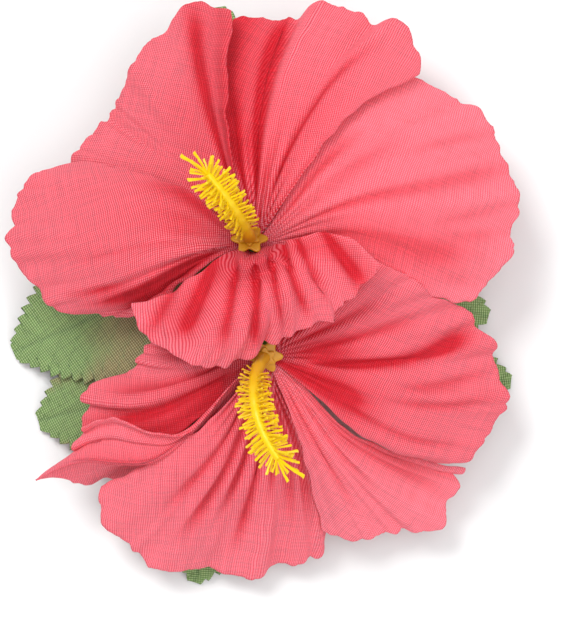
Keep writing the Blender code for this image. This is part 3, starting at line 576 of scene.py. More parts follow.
def woven(tree, warp, weft):
    """Height and per-thread tone of a plain weave, from the flat cut in millimetres.

    warp and weft are the spacings of the threads. The height is 1 on top of each crossing and 0 in the gaps
    between the threads.
    """
    cut = add_node(tree, "UVMap", {"uv_map": "cloth"})
    wobble = add_node(tree, "TexNoise", {"Scale": 0.15, "Detail": 1.0}, {"Vector": cut}, "Color")
    laid = add_node(tree, "VectorMath", {"operation": "MULTIPLY_ADD", 1: (0.7, 0.7, 0)}, {0: wobble, 2: cut})
    parts = add_node(tree, "SeparateXYZ", links={0: laid}).node
    waves, ridges, slubs = [], [], []
    for axis, spacing, stretch in ((0, warp, (1 / warp, 0.12, 0)), (1, weft, (0.12, 1 / weft, 0))):
        turns = add_node(tree, "Math", {"operation": "MULTIPLY", 1: math.pi / spacing}, {0: parts.outputs[axis]})
        waves.append(add_node(tree, "Math", {"operation": "SINE"}, {0: turns}))
        ridges.append(add_node(tree, "Math", {"operation": "ABSOLUTE"}, {0: waves[-1]}))
        along = add_node(tree, "Mapping", {"Scale": stretch}, {"Vector": laid})
        slubs.append(add_node(tree, "TexNoise", {"Scale": 0.8, "Detail": 0.0}, {"Vector": along}))
    share = add_node(tree, "Math", {"operation": "MULTIPLY_ADD", 1: 0.6, 2: 0.4}, {0: ridges[1]})
    height = add_node(tree, "Math", {"operation": "MULTIPLY"}, {0: ridges[0], 1: share})
    # One thread is on top where the product is above 0, and the other where it is below
    cross = add_node(tree, "Math", {"operation": "MULTIPLY"}, dict(enumerate(waves)))
    choice = add_node(tree, "Math", {"operation": "MULTIPLY_ADD", 1: 2.0, 2: 0.5, "use_clamp": True}, {0: cross})
    tone = add_node(tree, "Mix", {"data_type": "FLOAT"}, {0: choice, 2: slubs[0], 3: slubs[1]})
    return height, tone


def threaded(tree, dye_and_painted_light, height, tone, gap, pale, peak, reach, crease=None):
    """Colours a weave: painted shade in its gaps, and pale thread tops that fade out where crease shade is
    painted. On the petals the pale tops are painted highlights.
    """
    thread = add_node(tree, "MapRange", {1: 0.25, 2: 0.75, 3: 1 - reach, 4: 1 + reach}, {0: tone})
    lit = add_node(tree, "VectorMath", {"operation": "SCALE"}, {0: dye_and_painted_light, "Scale": thread})
    # Painted shade in the gaps between the threads
    deep = add_node(tree, "VectorMath", {"operation": "MULTIPLY", 1: gap}, {0: lit})
    share = add_node(tree, "MapRange", {1: 0.0, 2: 0.6}, {0: height})
    dyed = add_node(tree, "Mix", {"data_type": "RGBA"}, {0: share, FIRST: deep, SECOND: lit}, MIXED)
    # The pale thread tops; on the petals, painted highlights
    top = add_node(tree, "MapRange", {1: 0.35, 2: 1.0, 3: 0.0, 4: peak}, {0: height})
    if crease:
        held = add_node(tree, "MapRange", {1: 0.0, 2: 0.8, 3: 1.0, 4: 0.15}, {0: crease})
        top = add_node(tree, "Math", {"operation": "MULTIPLY"}, {0: top, 1: held})
    return layered(tree, dyed, ((top, pale),))


def petal_cloth(settings):
    """Starched polyester plain weave, dyed coral pink and heat-pressed: matt, with soft lights on its threads."""
    made, tree = new_material("petal_plain_weave")
    height, tone = woven(tree, settings.warp_spacing / MM, settings.weft_spacing / MM)
    along, crease, shade = (
        add_node(tree, "Attribute", {"attribute_name": name}, out="Fac") for name in ("along", "crease", "tone")
    )
    # Deeper red in the throat, partly the dye and partly painted shade in the throat's hollow, and paler near the
    # rim
    soft = {"interpolation_type": "SMOOTHSTEP"}
    deep = add_node(tree, "MapRange", {1: 0.05, 2: 0.42, **soft}, {0: along})
    pale = add_node(tree, "MapRange", {1: 0.4, 2: 1.0, **soft}, {0: along})
    # Painted light: a petal whose tone is above 1 is washed paler and pinker, as if lit more strongly
    painted_light_wash = add_node(tree, "MapRange", {1: 1.0, 2: 1.2, 3: 0.0, 4: 0.2}, {0: shade})
    # Painted shade: the crease share lays deep red over the folds, pleats and shaded bands
    dye_and_painted_light = layered(tree, settings.throat_colour, (
        (deep, settings.body_colour), (pale, settings.rim_colour), (crease, settings.painted_crease_shade_colour),
        (painted_light_wash, settings.thread_and_highlight_colour),
    ))
    # Painted light and shade: the whole petal is made lighter or darker by its tone
    dye_and_painted_light = add_node(tree, "VectorMath", {"operation": "SCALE"}, {0: dye_and_painted_light, "Scale": shade})
    # Painted shade in the weave's gaps, and painted highlights on the thread tops that fade where crease shade is
    # painted
    dye_and_painted_light = threaded(tree, dye_and_painted_light, height, tone, (0.8, 0.4, 0.46), settings.thread_and_highlight_colour, 0.56, 0.16, crease)
    bump = add_node(tree, "Bump", {"Strength": 0.6, "Distance": 0.08 * MM}, {"Height": height})
    # Light soaks through the thin cloth and comes out red
    return finished(made, {
        "Roughness": 0.85, "Specular IOR Level": 0.25, "Subsurface Weight": 0.35,
        "Subsurface Radius": (1.0, 0.16, 0.14), "Subsurface Scale": 1.6 * MM,
    }, {"Base Color": dye_and_painted_light, "Normal": bump})


def leaf_cloth(settings):
    """Stiffened open-weave cotton, printed green and air-brushed brown: dull, with pale threads standing out."""
    made, tree = new_material("leaf_open_weave")
    height, tone = woven(tree, settings.thread_spacing / MM, settings.thread_spacing / MM)
    band, vein = (add_node(tree, "Attribute", {"attribute_name": name}, out="Fac") for name in ("band", "vein"))
    normal = add_node(tree, "NewGeometry", out="Normal")
    upward = add_node(tree, "SeparateXYZ", links={0: normal}, out=2)
    printed = add_node(tree, "MapRange", {1: -0.2, 2: 0.2}, {0: upward})
    dye_and_painted_light = layered(tree, settings.leaf_colour, ((band, settings.band_colour), (vein, settings.vein_colour)))
    back = (*settings.underside_colour, 1)
    dye_and_painted_light = add_node(tree, "Mix", {"data_type": "RGBA", FIRST: back}, {0: printed, SECOND: dye_and_painted_light}, MIXED)
    # Painted shade in the weave's gaps
    dye_and_painted_light = threaded(tree, dye_and_painted_light, height, tone, (0.45, 0.46, 0.4), settings.thread_and_highlight_colour, 0.5, 0.2)
    bump = add_node(tree, "Bump", {"Strength": 0.6, "Distance": 0.12 * MM}, {"Height": height})
    return finished(made, {"Roughness": 0.85}, {"Base Color": dye_and_painted_light, "Normal": bump})


def stamen_vinyl(settings):
    """Soft injection-moulded PVC, yellow with an amber foot: satin, and slightly see-through where it is thin."""
    made, tree = new_material("stamen_soft_vinyl")
    foot = add_node(tree, "Attribute", {"attribute_name": "along"}, out="Fac")
    rise = add_node(tree, "MapRange", {1: 0.0, 2: 0.75, "interpolation_type": "SMOOTHSTEP"}, {0: foot})
    dye_and_painted_light = layered(tree, settings.foot_colour, ((rise, settings.tip_colour),))
    bump = add_node(tree, "Bump", {"Strength": 0.25, "Distance": 0.1 * MM}, {"Height": cloudy(tree, 900.0, 2.0)})
    return finished(made, {
        "Roughness": 0.42, "Subsurface Weight": 0.25, "Subsurface Radius": (1.0, 0.75, 0.15),
        "Subsurface Scale": 0.8 * MM,
    }, {"Base Color": dye_and_painted_light, "Normal": bump})


def clip_styrene(settings):
    """Moulded polystyrene in black olive: glossy, with a faint orange peel that breaks up its highlights."""
    made, tree = new_material("clip_moulded_styrene")
    # Swirls in the pigment, and finer grain from the mould's blasted steel
    swirl = cloudy(tree, 420.0, 3.0)
    share = add_node(tree, "MapRange", {1: 0.35, 2: 0.7}, {0: swirl})
    dye_and_painted_light = layered(tree, settings.dark_colour, ((share, settings.olive_colour),))
    grain = cloudy(tree, 3500.0, 2.0)
    bump = add_node(tree, "Bump", {"Strength": 0.35, "Distance": 0.08 * MM}, {"Height": grain})
    matt = add_node(tree, "MapRange", {1: 0.3, 2: 0.7, 3: 0.14, 4: 0.34}, {0: grain})
    return finished(made, {"IOR": 1.59}, {"Base Color": dye_and_painted_light, "Roughness": matt, "Normal": bump})


def rolled_steel(settings):
    """Bright cold-rolled spring steel: fine lines along the strip that stretch its reflections."""
    made, tree = new_material("spring_rolled_steel")
    place = add_node(tree, "TexCoord", out="Object")
    across = add_node(tree, "Mapping", {"Scale": (9000, 300, 300)}, {"Vector": place})
    lines = add_node(tree, "TexNoise", {"Scale": 1.0, "Detail": 3.0}, {"Vector": across})
    matt = add_node(tree, "MapRange", {1: 0.3, 2: 0.7, 3: 0.2, 4: 0.42}, {0: lines})
    bump = add_node(tree, "Bump", {"Strength": 0.2, "Distance": 0.04 * MM}, {"Height": lines})
    settings = {"Base Color": (*settings.steel_colour, 1), "Metallic": 1.0}
    return finished(made, settings, {"Roughness": matt, "Normal": bump})


def clouded(name, scale, detail, first, second, strength, settings):
    """A waxy or glassy solid whose colour drifts between two, with a slightly uneven skin."""
    made, tree = new_material(name)
    cloud = cloudy(tree, scale, detail)
    share = add_node(tree, "MapRange", {1: 0.35, 2: 0.65}, {0: cloud})
    dye_and_painted_light = layered(tree, first, ((share, second),))
    bump = add_node(tree, "Bump", {"Strength": strength, "Distance": 0.1 * MM}, {"Height": cloud})
    return finished(made, settings, {"Base Color": dye_and_painted_light, "Normal": bump})


def calyx_polythene(settings):
    """Injection-moulded polythene in leaf green: waxy, with darker drifts in it."""
    shine = {"Roughness": 0.36, "Subsurface Weight": 0.15, "Subsurface Scale": 1.0 * MM}
    return clouded("calyx_waxy_polythene", 350.0, 2.0, linear("#2f7a17"), settings.calyx_colour, 0.2, shine)


def melted_glue(settings):
    """Hot-melt rosin glue: amber with a wet skin, cloudy inside."""
    shine = {"Roughness": 0.12, "Subsurface Weight": 0.6, "Subsurface Scale": 2.0 * MM}
    return clouded("glue_hot_melt", 500.0, 3.0, settings.glue_colour, linear("#f0c060"), 0.3, shine)


# Cloth

def petal_relief(design, seed, along, across, places, settings):
    """How far a petal's cloth stands off its plain curve, in pleats, folds, ruffles and curls; and its painted
    shade.

    places is the grid of shares across the petal that its pleats and folds follow.
    """
    draw = np.random.default_rng(seed)
    valleys = np.zeros((len(along), len(across)))
    # Pressed pleats, crowded at the throat and gone before the rim
    count, strength = design["pleats"]
    for index in range(count):
        place = (index + 0.5 + draw.uniform(-0.3, 0.3)) / count
        bend = draw.uniform(-0.05, 0.05)
        end = draw.uniform(0.35, 0.75)
        depth = draw.uniform(0.5, 1.0) * settings.pleat_depth * strength
        width = draw.uniform(0.2, 0.32) / count
        line = place + bend * along
        fade = ease(0.02, 0.14, along) * (1 - ease(end - 0.3, end, along))
        valleys += depth * fade[:, None] * np.exp(-((places - line[:, None]) / width) ** 2)
    for root, rim, depth, width, start, end in design["folds"]:
        line = root + (rim - root) * along
        fade = ease(start, start + 0.2, along) * (1 - ease(end - 0.25, end, along))
        valleys += depth * MM * fade[:, None] * np.exp(-((places - line[:, None]) / width) ** 2)
    inside = np.clip(np.sin(math.pi * across) * 1.2, 0, 1)
    phase = draw.uniform(0, 2 * math.pi, 3)
    waves = np.sin(2 * math.pi * design["ruffles"] * across + phase[0])
    waves += 0.5 * np.sin(2 * math.pi * 2.3 * design["ruffles"] * across + phase[1])
    swell = ease(0.45, 1.0, along)[:, None] * (waves * inside)[None, :] * settings.ruffle_height
    raised = np.zeros_like(valleys)
    for side, (width, height) in design.get("curl", {}).items():
        edge = across if side == "low" else 1 - across
        raised += (ease(width, 0, edge)[None, :] ** 1.5) * ease(0.15, 0.6, along)[:, None] * height * MM
    # Painted shade: the deeper a valley, the more deep red shade is painted into it, and the shades bands add
    # more
    dye_and_painted_light = valleys / (1.5 * MM)
    for root, rim, strength, width, start, end in design["shades"]:
        line = root + (rim - root) * along
        fade = ease(start, start + 0.25, along) * (1 - ease(end - 0.3, end, along))
        dye_and_painted_light = dye_and_painted_light + strength * fade[:, None] * np.exp(-((across[None, :] - line[:, None]) / width) ** 2)
    return swell + raised - valleys, np.clip(dye_and_painted_light, 0, 1)


def petal_grid(name, settings):
    """A petal's points, its flat cut, and how far along it each point is and how much painted shade it takes."""
    design = PETALS[name]
    seed = list(PETALS).index(name) + 1
    rows, columns = settings.rows, settings.columns
    along = np.linspace(0, 1, rows)
    across = np.linspace(0, 1, columns)
    low = smooth(design["low"], along)[:, None]
    high = smooth(design["high"], along)[:, None]
    degrees = low + (high - low) * across[None, :]
    reach = smooth(design["reach"], across)
    for place, height, width in design["rim"]:
        reach = reach + height * np.exp(-((across - place) / width) ** 2)
    rim_walk = across * math.radians(abs(high[-1, 0] - low[-1, 0])) * reach.mean()
    rim_walk = rim_walk + wavy(rim_walk, seed + 20, 9.0) * 1.5
    scallop = np.abs(np.sin(rim_walk * math.pi / settings.scallop_length * MM + seed)) ** 0.7
    scallop = scallop * (0.6 + 0.5 * wavy(rim_walk, seed + 80, 12.0)) + 0.5 * wavy(rim_walk, seed + 50, 2.4)
    reach = reach * MM + (scallop - 0.4) * settings.scallop_depth
    reach = reach + wavy(rim_walk, seed, 0.9) * settings.fray
    # The side edges are cut unevenly too
    edge = wavy(along * reach.mean() / MM, seed + 40, 4.0) * 0.5 * MM
    outer = ease(0.25, 0.6, along)
    radius = CLOTH_START + (reach[None, :] - CLOTH_START) * along[:, None]
    side = (np.abs(across * 2 - 1) ** 8) * np.sign(across - 0.5)
    degrees = degrees + np.degrees(edge * outer)[:, None] / radius * side[None, :]
    lifts = np.asarray(design["lift"], dtype=float) * MM + design["layer"] * (SOLID_PETAL + SOLID_GAP)
    net = np.vstack([np.zeros_like(lifts[:1]), lifts])
    lift = smooth(smooth(net, along).T, across).T
    brow = ease(0, 0.07, along) * (1 - ease(0.07, 0.28, along)) * design.get("brow", 0) * MM
    lift = lift + brow[:, None] * np.clip(np.sin(math.pi * across) * 1.6, 0, 1)
    turn = np.radians(degrees)
    root = throat(design["bloom"])
    grid = np.stack([root.x + radius * np.cos(turn), root.y + radius * np.sin(turn), root.z + lift], axis=2)

    out = np.gradient(grid, axis=0)
    left = np.gradient(grid, axis=1)
    normal = np.cross(out, left)
    normal /= np.maximum(np.linalg.norm(normal, axis=2, keepdims=True), 1e-12)
    places = np.broadcast_to(across[None, :], degrees.shape)
    if "fan" in design:
        # These folds hang side by side from the brow, as if they met far behind the throat
        spread = np.arctan2(grid[:, :, 0] - root.x, design["fan"] * MM + root.y - grid[:, :, 1])
        places = (spread - spread.min()) / (spread.max() - spread.min())
    relief, crease = petal_relief(design, seed, along, across, places, settings)
    steps = np.linalg.norm(np.diff(grid, axis=0), axis=2)
    length = CLOTH_START + np.vstack([np.zeros((1, columns)), np.cumsum(steps, axis=0)])
    steps = np.linalg.norm(np.diff(grid, axis=1), axis=2) * 2 / (length[:, 1:] + length[:, :-1])
    fan = np.hstack([np.zeros((rows, 1)), np.cumsum(steps, axis=1)])
    weave = fan - fan.mean(axis=1, keepdims=True) + math.radians(degrees.mean() - design["weave"])
    flat = np.stack([length * np.cos(weave), length * np.sin(weave)], axis=2)
    grid = grid + normal * relief[:, :, None]
    return grid, flat, along[:, None], crease


def leaf_grid(name, settings):
    """A leaf's points, its flat cut, and where its veins and its brown band lie."""
    design = LEAVES[name]
    top = calyx_top(design["bloom"])
    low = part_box(design["bloom"] + "_calyx")[0].z
    foot = Vector((top.x, top.y, 0))
    tip = Vector((*design["tip"], 0)) * MM + Vector((TABLE_SHIFT.x, TABLE_SHIFT.y, 0))
    out = (tip - foot).normalized()
    side = Vector((-out.y, out.x, 0))
    root = foot + out * (CALYX_RADIUS * 0.6 + 2 * SOLID_GAP)
    root_height = low + (top.z - low) * CALYX_NECK
    tip_height = TABLE_SHIFT.z + design["height"] * MM + SOLID_LEAF
    rows, columns = settings.rows, settings.columns
    # Rows crowd towards the blunt tip, where the edge turns across the leaf
    along = np.sin(np.linspace(0, math.pi / 2, rows))
    across = np.linspace(-1, 1, columns)
    shape = smooth(LEAF_SHAPE, along)
    half = shape * design["width"] * MM / 2
    length = (tip - root).length
    # Teeth stand square to the cut edge and point towards the tip
    forward = np.gradient(along * length)
    outward = np.gradient(half)
    step = np.maximum(np.hypot(forward, outward), 1e-9)
    walk = np.cumsum(step)
    tooth = (walk / walk[-1] * design["teeth"] * 1.15) % 1
    bite = (tooth ** 0.8 - 0.5) * settings.tooth_depth * np.clip(shape * 2.2, 0, 1)
    half = half + bite * forward / step
    push = -bite * outward / step
    height = root_height + (tip_height - root_height) * along
    height = height + design["arch"] * MM * 4 * along * (1 - along)
    height = height[:, None] + np.abs(across)[None, :] * shape[:, None] * LEAF_FOLD
    # Side veins leave the midrib forwards, one to each pair of teeth
    walk = (along[:, None] - 0.28 * np.abs(across)[None, :] * shape[:, None]) * design["teeth"] / 2
    near = np.abs((walk % 1) - 0.5) * 2
    vein = np.clip(1 - near / 0.16, 0, 1) * ease(0.1, 0.25, along)[:, None]
    rib = np.exp(-((np.abs(across) * half[:, None]) / (0.5 * MM)) ** 2)
    height = height - (vein * 0.22 + rib * 0.3) * MM
    grid = np.zeros((rows, columns, 3))
    middle = np.array(root)[None, :] + np.outer(along, np.array(tip - root))
    shift = push[:, None] * (across ** 4)[None, :]
    grid[:, :, 0] = middle[:, 0, None] + across[None, :] * half[:, None] * side.x + shift * out.x
    grid[:, :, 1] = middle[:, 1, None] + across[None, :] * half[:, None] * side.y + shift * out.y
    seed = list(LEAVES).index(name) + 60
    drift = np.array([noise.noise(Vector((value * 3, seed, 0.2))) for value in along])
    grid[:, :, 2] = height + (drift * 0.8 * MM)[:, None] * across[None, :]
    slant = np.hypot(length, root_height - tip_height)
    flat = np.stack([np.outer(along, np.ones(columns)) * slant + shift, across[None, :] * half[:, None]], axis=2)
    turn = math.radians(12)
    flat = flat @ np.array(((math.cos(turn), -math.sin(turn)), (math.sin(turn), math.cos(turn))))
    patch = np.array([[noise.noise(Vector((a * 4, b * 2, seed))) for b in across] for a in along])
    # The green was sprayed on from the tip, so brown is left at the root and along the sides near it
    sprayed = along[:, None] + patch * 0.12 - 0.22 * (across ** 2)[None, :]
    band = 1 - ease(design["band"] - 0.2, design["band"], sprayed)
    return grid, flat, np.clip(vein * 0.5 + rib * 0.7, 0, 1), band


# Stamens

def filament_template(name, radius, length):
    """One filament along +Z from the origin, slightly bent, with a rounded anther at its end."""
    bpy.ops.object.select_all(action="DESELECT")
    bpy.ops.mesh.primitive_circle_add(vertices=6, radius=radius, fill_type="NGON")
    piece = bpy.context.object
    piece.name = name
    bpy.ops.object.mode_set(mode="EDIT")
    bpy.ops.mesh.select_all(action="SELECT")
    # Steps of (length, bend to one side, width), as shares
    steps = ((0.34, 0.01, 0.86), (0.34, 0.03, 0.95), (0.2, 0.03, 1.3), (0.09, 0.01, 0.95), (0.03, 0.0, 0.55))
    at = 0.0
    for rise, bend, width in steps:
        at += rise * length
        bpy.ops.mesh.extrude_region_move(TRANSFORM_OT_translate={"value": (bend * length, 0, rise * length)})
        bpy.ops.transform.resize(value=(width, width, 1), center_override=(0, 0, at))
    bpy.ops.mesh.select_all(action="SELECT")
    bpy.ops.mesh.normals_make_consistent(inside=False)
    bpy.ops.object.mode_set(mode="OBJECT")
    return piece


def stamen_piece(bloom, seed, settings, filament, stigma):
    """A stamen column: tapered bent stalk, two-tier star flange, a brush of filaments and five stigmas."""
    name = bloom + "_stamen_column"
    line = stamen_line(bloom, np.linspace(0, 1, 40))
    drawing = bpy.data.curves.new(name, "CURVE")
    drawing.dimensions = "3D"
    drawing.bevel_depth = settings.stalk_radius
    drawing.bevel_resolution = 5
    drawing.use_fill_caps = True
    spline = drawing.splines.new("POLY")
    spline.points.add(len(line) - 1)
    for index, (point, place) in enumerate(zip(spline.points, line)):
        share = index / (len(line) - 1)
        point.co = (*place, 1)
        point.radius = 1.08 - 0.45 * share + 0.06 * math.sin(share * 55)
    column = bpy.data.objects.new(name, drawing)
    bpy.context.scene.collection.objects.link(column)
    choose(column)
    bpy.ops.object.convert(target="MESH")
    column = bpy.context.object
    foot = Vector(line[0])
    others = []
    for tier, (size, lift) in enumerate(((1.0, 0.0), (0.62, 0.75 * MM))):
        lean = math.radians(STAMENS[bloom]["lean"])
        place = foot + Matrix.Rotation(lean, 3, "X") @ Vector((0, 0, lift))
        others.append(star_flange(f"{bloom}_flange_{tier}", FLANGE_RADIUS * size, place, lean, tier * math.pi))
    draw = np.random.default_rng(seed + 11)
    for index in range(settings.filaments):
        # Moulded in two halves, so the filaments stand out to the left and right of the column
        share = 0.2 + 0.79 * index / (settings.filaments - 1)
        near, far = stamen_line(bloom, [share - 0.02, share])
        along = Vector(far - near).normalized()
        side = along.cross(Vector((0, 0, 1))).normalized() * (1 if index % 2 else -1)
        tilt = (-30, 0, 26, 58)[(index // 2) % 4] + draw.uniform(-9, 9)
        out = Matrix.Rotation(math.radians(tilt), 3, along) @ side
        lean = (out + along * (draw.uniform(0.1, 0.34) + 10 * max(0, share - 0.9))).normalized()
        turn = lean.to_track_quat("Z", "Y").to_matrix().to_4x4() @ Matrix.Rotation(draw.uniform(0, 6.28), 4, "Z")
        size = draw.uniform(0.72, 1.04) * (0.72 + 0.36 * share)
        others.append(copy_turned(filament, Matrix.Translation(far) @ turn @ Matrix.Scale(size, 4)))
    near, end = stamen_line(bloom, [0.97, 0.995])
    direction = Vector(end - near).normalized()
    for index in range(5):
        out = Matrix.Rotation(index * 2 * math.pi / 5 + 0.4, 3, direction) @ direction.orthogonal().normalized()
        lean = (direction + out * (0.3 + 0.12 * (index % 2))).normalized()
        size = Matrix.Scale(0.72 + 0.5 * (index % 3) / 2, 4)
        turn = lean.to_track_quat("Z", "Y").to_matrix().to_4x4()
        others.append(copy_turned(stigma, Matrix.Translation(end) @ turn @ size))
    column = join_pieces(column, others)
    bpy.ops.object.shade_smooth_by_angle(angle=SOFT_EDGE)
    points = np.array([vertex.co for vertex in column.data.vertices])
    rise = np.linalg.norm(points - line[0], axis=1) / np.linalg.norm(line[-1] - line[0])
    layer = column.data.attributes.new("along", "FLOAT", "POINT")
    layer.data.foreach_set("value", np.clip(rise, 0, 1).astype(np.float32))
    return column


def star_flange(name, radius, place, lean, turn):
    """A flat star of six rounded points, with a soft edge."""
    bpy.ops.object.select_all(action="DESELECT")
    bpy.ops.mesh.primitive_cylinder_add(vertices=48, radius=radius, depth=0.7 * MM, location=place)
    piece = bpy.context.object
    piece.name = name
    for vertex in piece.data.vertices:
        angle = math.atan2(vertex.co.y, vertex.co.x)
        vertex.co.xy *= 0.83 + 0.17 * math.cos(6 * angle + turn)
    piece.rotation_euler.x = lean
    soften(piece, 0.25 * MM)
    bpy.ops.object.transform_apply(location=True, rotation=True)
    return piece


# What a user would change

def length(name, description, millimetres):
    return FloatProperty(name=name, description=description, default=millimetres * MM, unit="LENGTH")


def colour(name, description, value):
    return FloatVectorProperty(name=name, description=description, subtype="COLOR", default=linear(value))


class ClipPetalSettings(PropertyGroup):
    cloth: length("Cloth", "Thickness of the petal cloth", 0.35)
    pleat_depth: length("Pleat depth", "Depth of the pressed pleats around the throat", 0.8)
    ruffle_height: length("Ruffle height", "How far the rim waves up and down", 0.75)
    scallop_depth: length("Scallop depth", "Depth of the small scallops cut into the rim", 0.7)
    scallop_length: length("Scallop length", "Length of one scallop along the rim", 5.2)
    fray: length("Fray", "Unevenness of the cut edge", 0.12)
    warp_spacing: length("Warp spacing", "From one warp thread to the next", 0.5)
    weft_spacing: length("Weft spacing", "From one weft thread to the next", 0.44)
    rows: IntProperty(name="Rows", description="Steps from the throat to the rim", default=110, min=20, max=200)
    columns: IntProperty(name="Columns", description="Steps from edge to edge", default=130, min=20, max=200)
    body_colour: colour("Petal", "Dye of the petal's middle", "#e84656")
    rim_colour: colour("Rim", "Dye near the rim", "#ee5e6c")
    # Throat red: partly the dye, partly painted shade in the throat's hollow
    throat_colour: colour("Throat", "Dye in the throat", "#c41c30")
    # Painted highlight on the petals' thread tops, and the paler wash on petals painted as lit more
    thread_and_highlight_colour: colour("Thread tops", "Worn tops of the threads", "#ffacb8")
    # Painted shade laid into the folds, pleats and shaded bands
    painted_crease_shade_colour: colour("Crease", "Dye that ran into the folds", "#c81026")


class ClipLeafSettings(PropertyGroup):
    cloth: length("Cloth", "Thickness of the leaf cloth", 0.35)
    tooth_depth: length("Tooth depth", "Depth of the teeth along a leaf's edge", 2.4)
    thread_spacing: length("Thread spacing", "From one thread to the next", 0.58)
    rows: IntProperty(name="Rows", description="Steps from root to tip", default=240, min=20, max=300)
    columns: IntProperty(name="Columns", description="Steps across the blade", default=41, min=9, max=99)
    leaf_colour: colour("Leaf", "Printed green", "#769a52")
    band_colour: colour("Band", "Air-brushed brown", "#8d7c50")
    thread_and_highlight_colour: colour("Thread tops", "Bare tops of the threads", "#cfd9ae")
    vein_colour: colour("Vein", "Pressed veins", "#5f8446")
    underside_colour: colour("Underside", "Unprinted back", "#5a664c")


class ClipStamenSettings(PropertyGroup):
    filaments: IntProperty(name="Filaments", description="Filaments on one column", default=156, min=12, max=300)
    filament_radius: length("Filament radius", "Radius of a filament", 0.32)
    filament_length: length("Filament length", "Length of a filament", 5.2)
    stalk_radius: length("Stalk radius", "Radius of the column at its foot", 1.5)
    tip_colour: colour("Tip", "Yellow of the tips", "#f5cf00")
    foot_colour: colour("Foot", "Amber of the foot", "#c98a12")


class ClipHardwareSettings(PropertyGroup):
    skin: length("Skin", "Grain of the moulded skin's mesh", 0.22)
    spring_thickness: length("Spring", "Thickness of the spring strip", 0.4)
    dark_colour: colour("Moulding", "Dark of the clip's plastic", "#22270f")
    olive_colour: colour("Olive", "Olive of the clip's plastic", "#58612a")
    steel_colour: colour("Steel", "Spring and rivet", "#c9ccce")
    calyx_colour: colour("Calyx", "Green of the calyxes", "#5fae2c")
    glue_colour: colour("Glue", "Amber of the glue", "#d98a10")


class ClipStageSettings(PropertyGroup):
    camera_distance: length("Camera distance", "From the blooms to the camera", 1500)
    floor_colour: colour("Floor", "Paper that the clip lies on", "#f7f7f6")


# Operators

class FLOWERCLIP_OT_petals(Operator):
    """Makes the ten petals as ruffled sheets of woven cloth"""

    bl_idname = "flowerclip.petals"
    bl_label = "Petals"

    def execute(self, context):
        settings = context.scene.flowerclip_petals
        finish = petal_cloth(settings)
        for name, design in PETALS.items():
            grid, flat, along, crease = petal_grid(name, settings)
            # crease carries the petal's painted shade, and tone its painted light and shade over the whole petal
            attributes = {"along": along, "crease": crease, "tone": design["tone"]}
            piece = cloth_piece(name + "_cloth", grid, flat, attributes, settings.cloth)
            place_piece(piece, finish, BLOOM_BODY, "petal_fabric", name)
        return {"FINISHED"}


class FLOWERCLIP_OT_leaves(Operator):
    """Makes the six leaves as serrated sheets of open-weave cloth"""

    bl_idname = "flowerclip.leaves"
    bl_label = "Leaves"

    def execute(self, context):
        settings = context.scene.flowerclip_leaves
        finish = leaf_cloth(settings)
        for name, design in LEAVES.items():
            grid, flat, vein, band = leaf_grid(name, settings)
            piece = cloth_piece(name + "_cloth", grid, flat, {"vein": vein, "band": band}, settings.cloth)
            place_piece(piece, finish, BLOOM_BODY, "leaf_fabric", name)
        return {"FINISHED"}


class FLOWERCLIP_OT_stamens(Operator):
    """Makes the two stamen columns, each with its star flange, filaments and stigmas"""

    bl_idname = "flowerclip.stamens"
    bl_label = "Stamens"

    def execute(self, context):
        settings = context.scene.flowerclip_stamens
        finish = stamen_vinyl(settings)
        filament = filament_template("filament", settings.filament_radius, settings.filament_length)
        stigma = filament_template("stigma", settings.filament_radius * 1.25, settings.filament_length * 1.2)
        for index, bloom in enumerate(STAMENS):
            piece = stamen_piece(bloom, index, settings, filament, stigma)
            place_piece(piece, finish, BLOOM_BODY, "stamen_plastic", bloom + "_stamen")
        for template in (filament, stigma):
            bpy.data.objects.remove(template)
        return {"FINISHED"}


class FLOWERCLIP_OT_calyxes(Operator):
    """Makes the two moulded calyxes with their stems and five sepals each"""

    bl_idname = "flowerclip.calyxes"
    bl_label = "Calyxes"

    def execute(self, context):
        finish = calyx_polythene(context.scene.flowerclip_hardware)
        for bloom in STAMENS:
            low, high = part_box(bloom + "_calyx")
            tall = high.z - low.z
            profile = [(STEM_RADIUS * wide, tall * rise) for wide, rise in CALYX_STEM]
            profile += [(CALYX_RADIUS * wide, tall * rise) for wide, rise in CALYX_CUP]
            piece = turned_piece(bloom + "_calyx_cup", profile, 60)
            # Five sepals: ribs down the cup, and notches in its lip between them
            for vertex in piece.data.vertices:
                share = vertex.co.z / tall
                angle = math.atan2(vertex.co.y, vertex.co.x)
                lobe = abs(math.sin(2.5 * angle))
                wide = ease(0.36, 0.6, share)
                vertex.co.xy *= 1 - 0.1 * (1 - lobe) ** 2 * wide
                vertex.co.z -= tall * 0.16 * (1 - lobe) ** 3 * ease(0.75, 0.95, share)
            piece.location = ((low.x + high.x) / 2, (low.y + high.y) / 2, low.z)
            place_piece(piece, finish, BLOOM_BODY, "calyx_plastic", bloom + "_calyx")
        return {"FINISHED"}


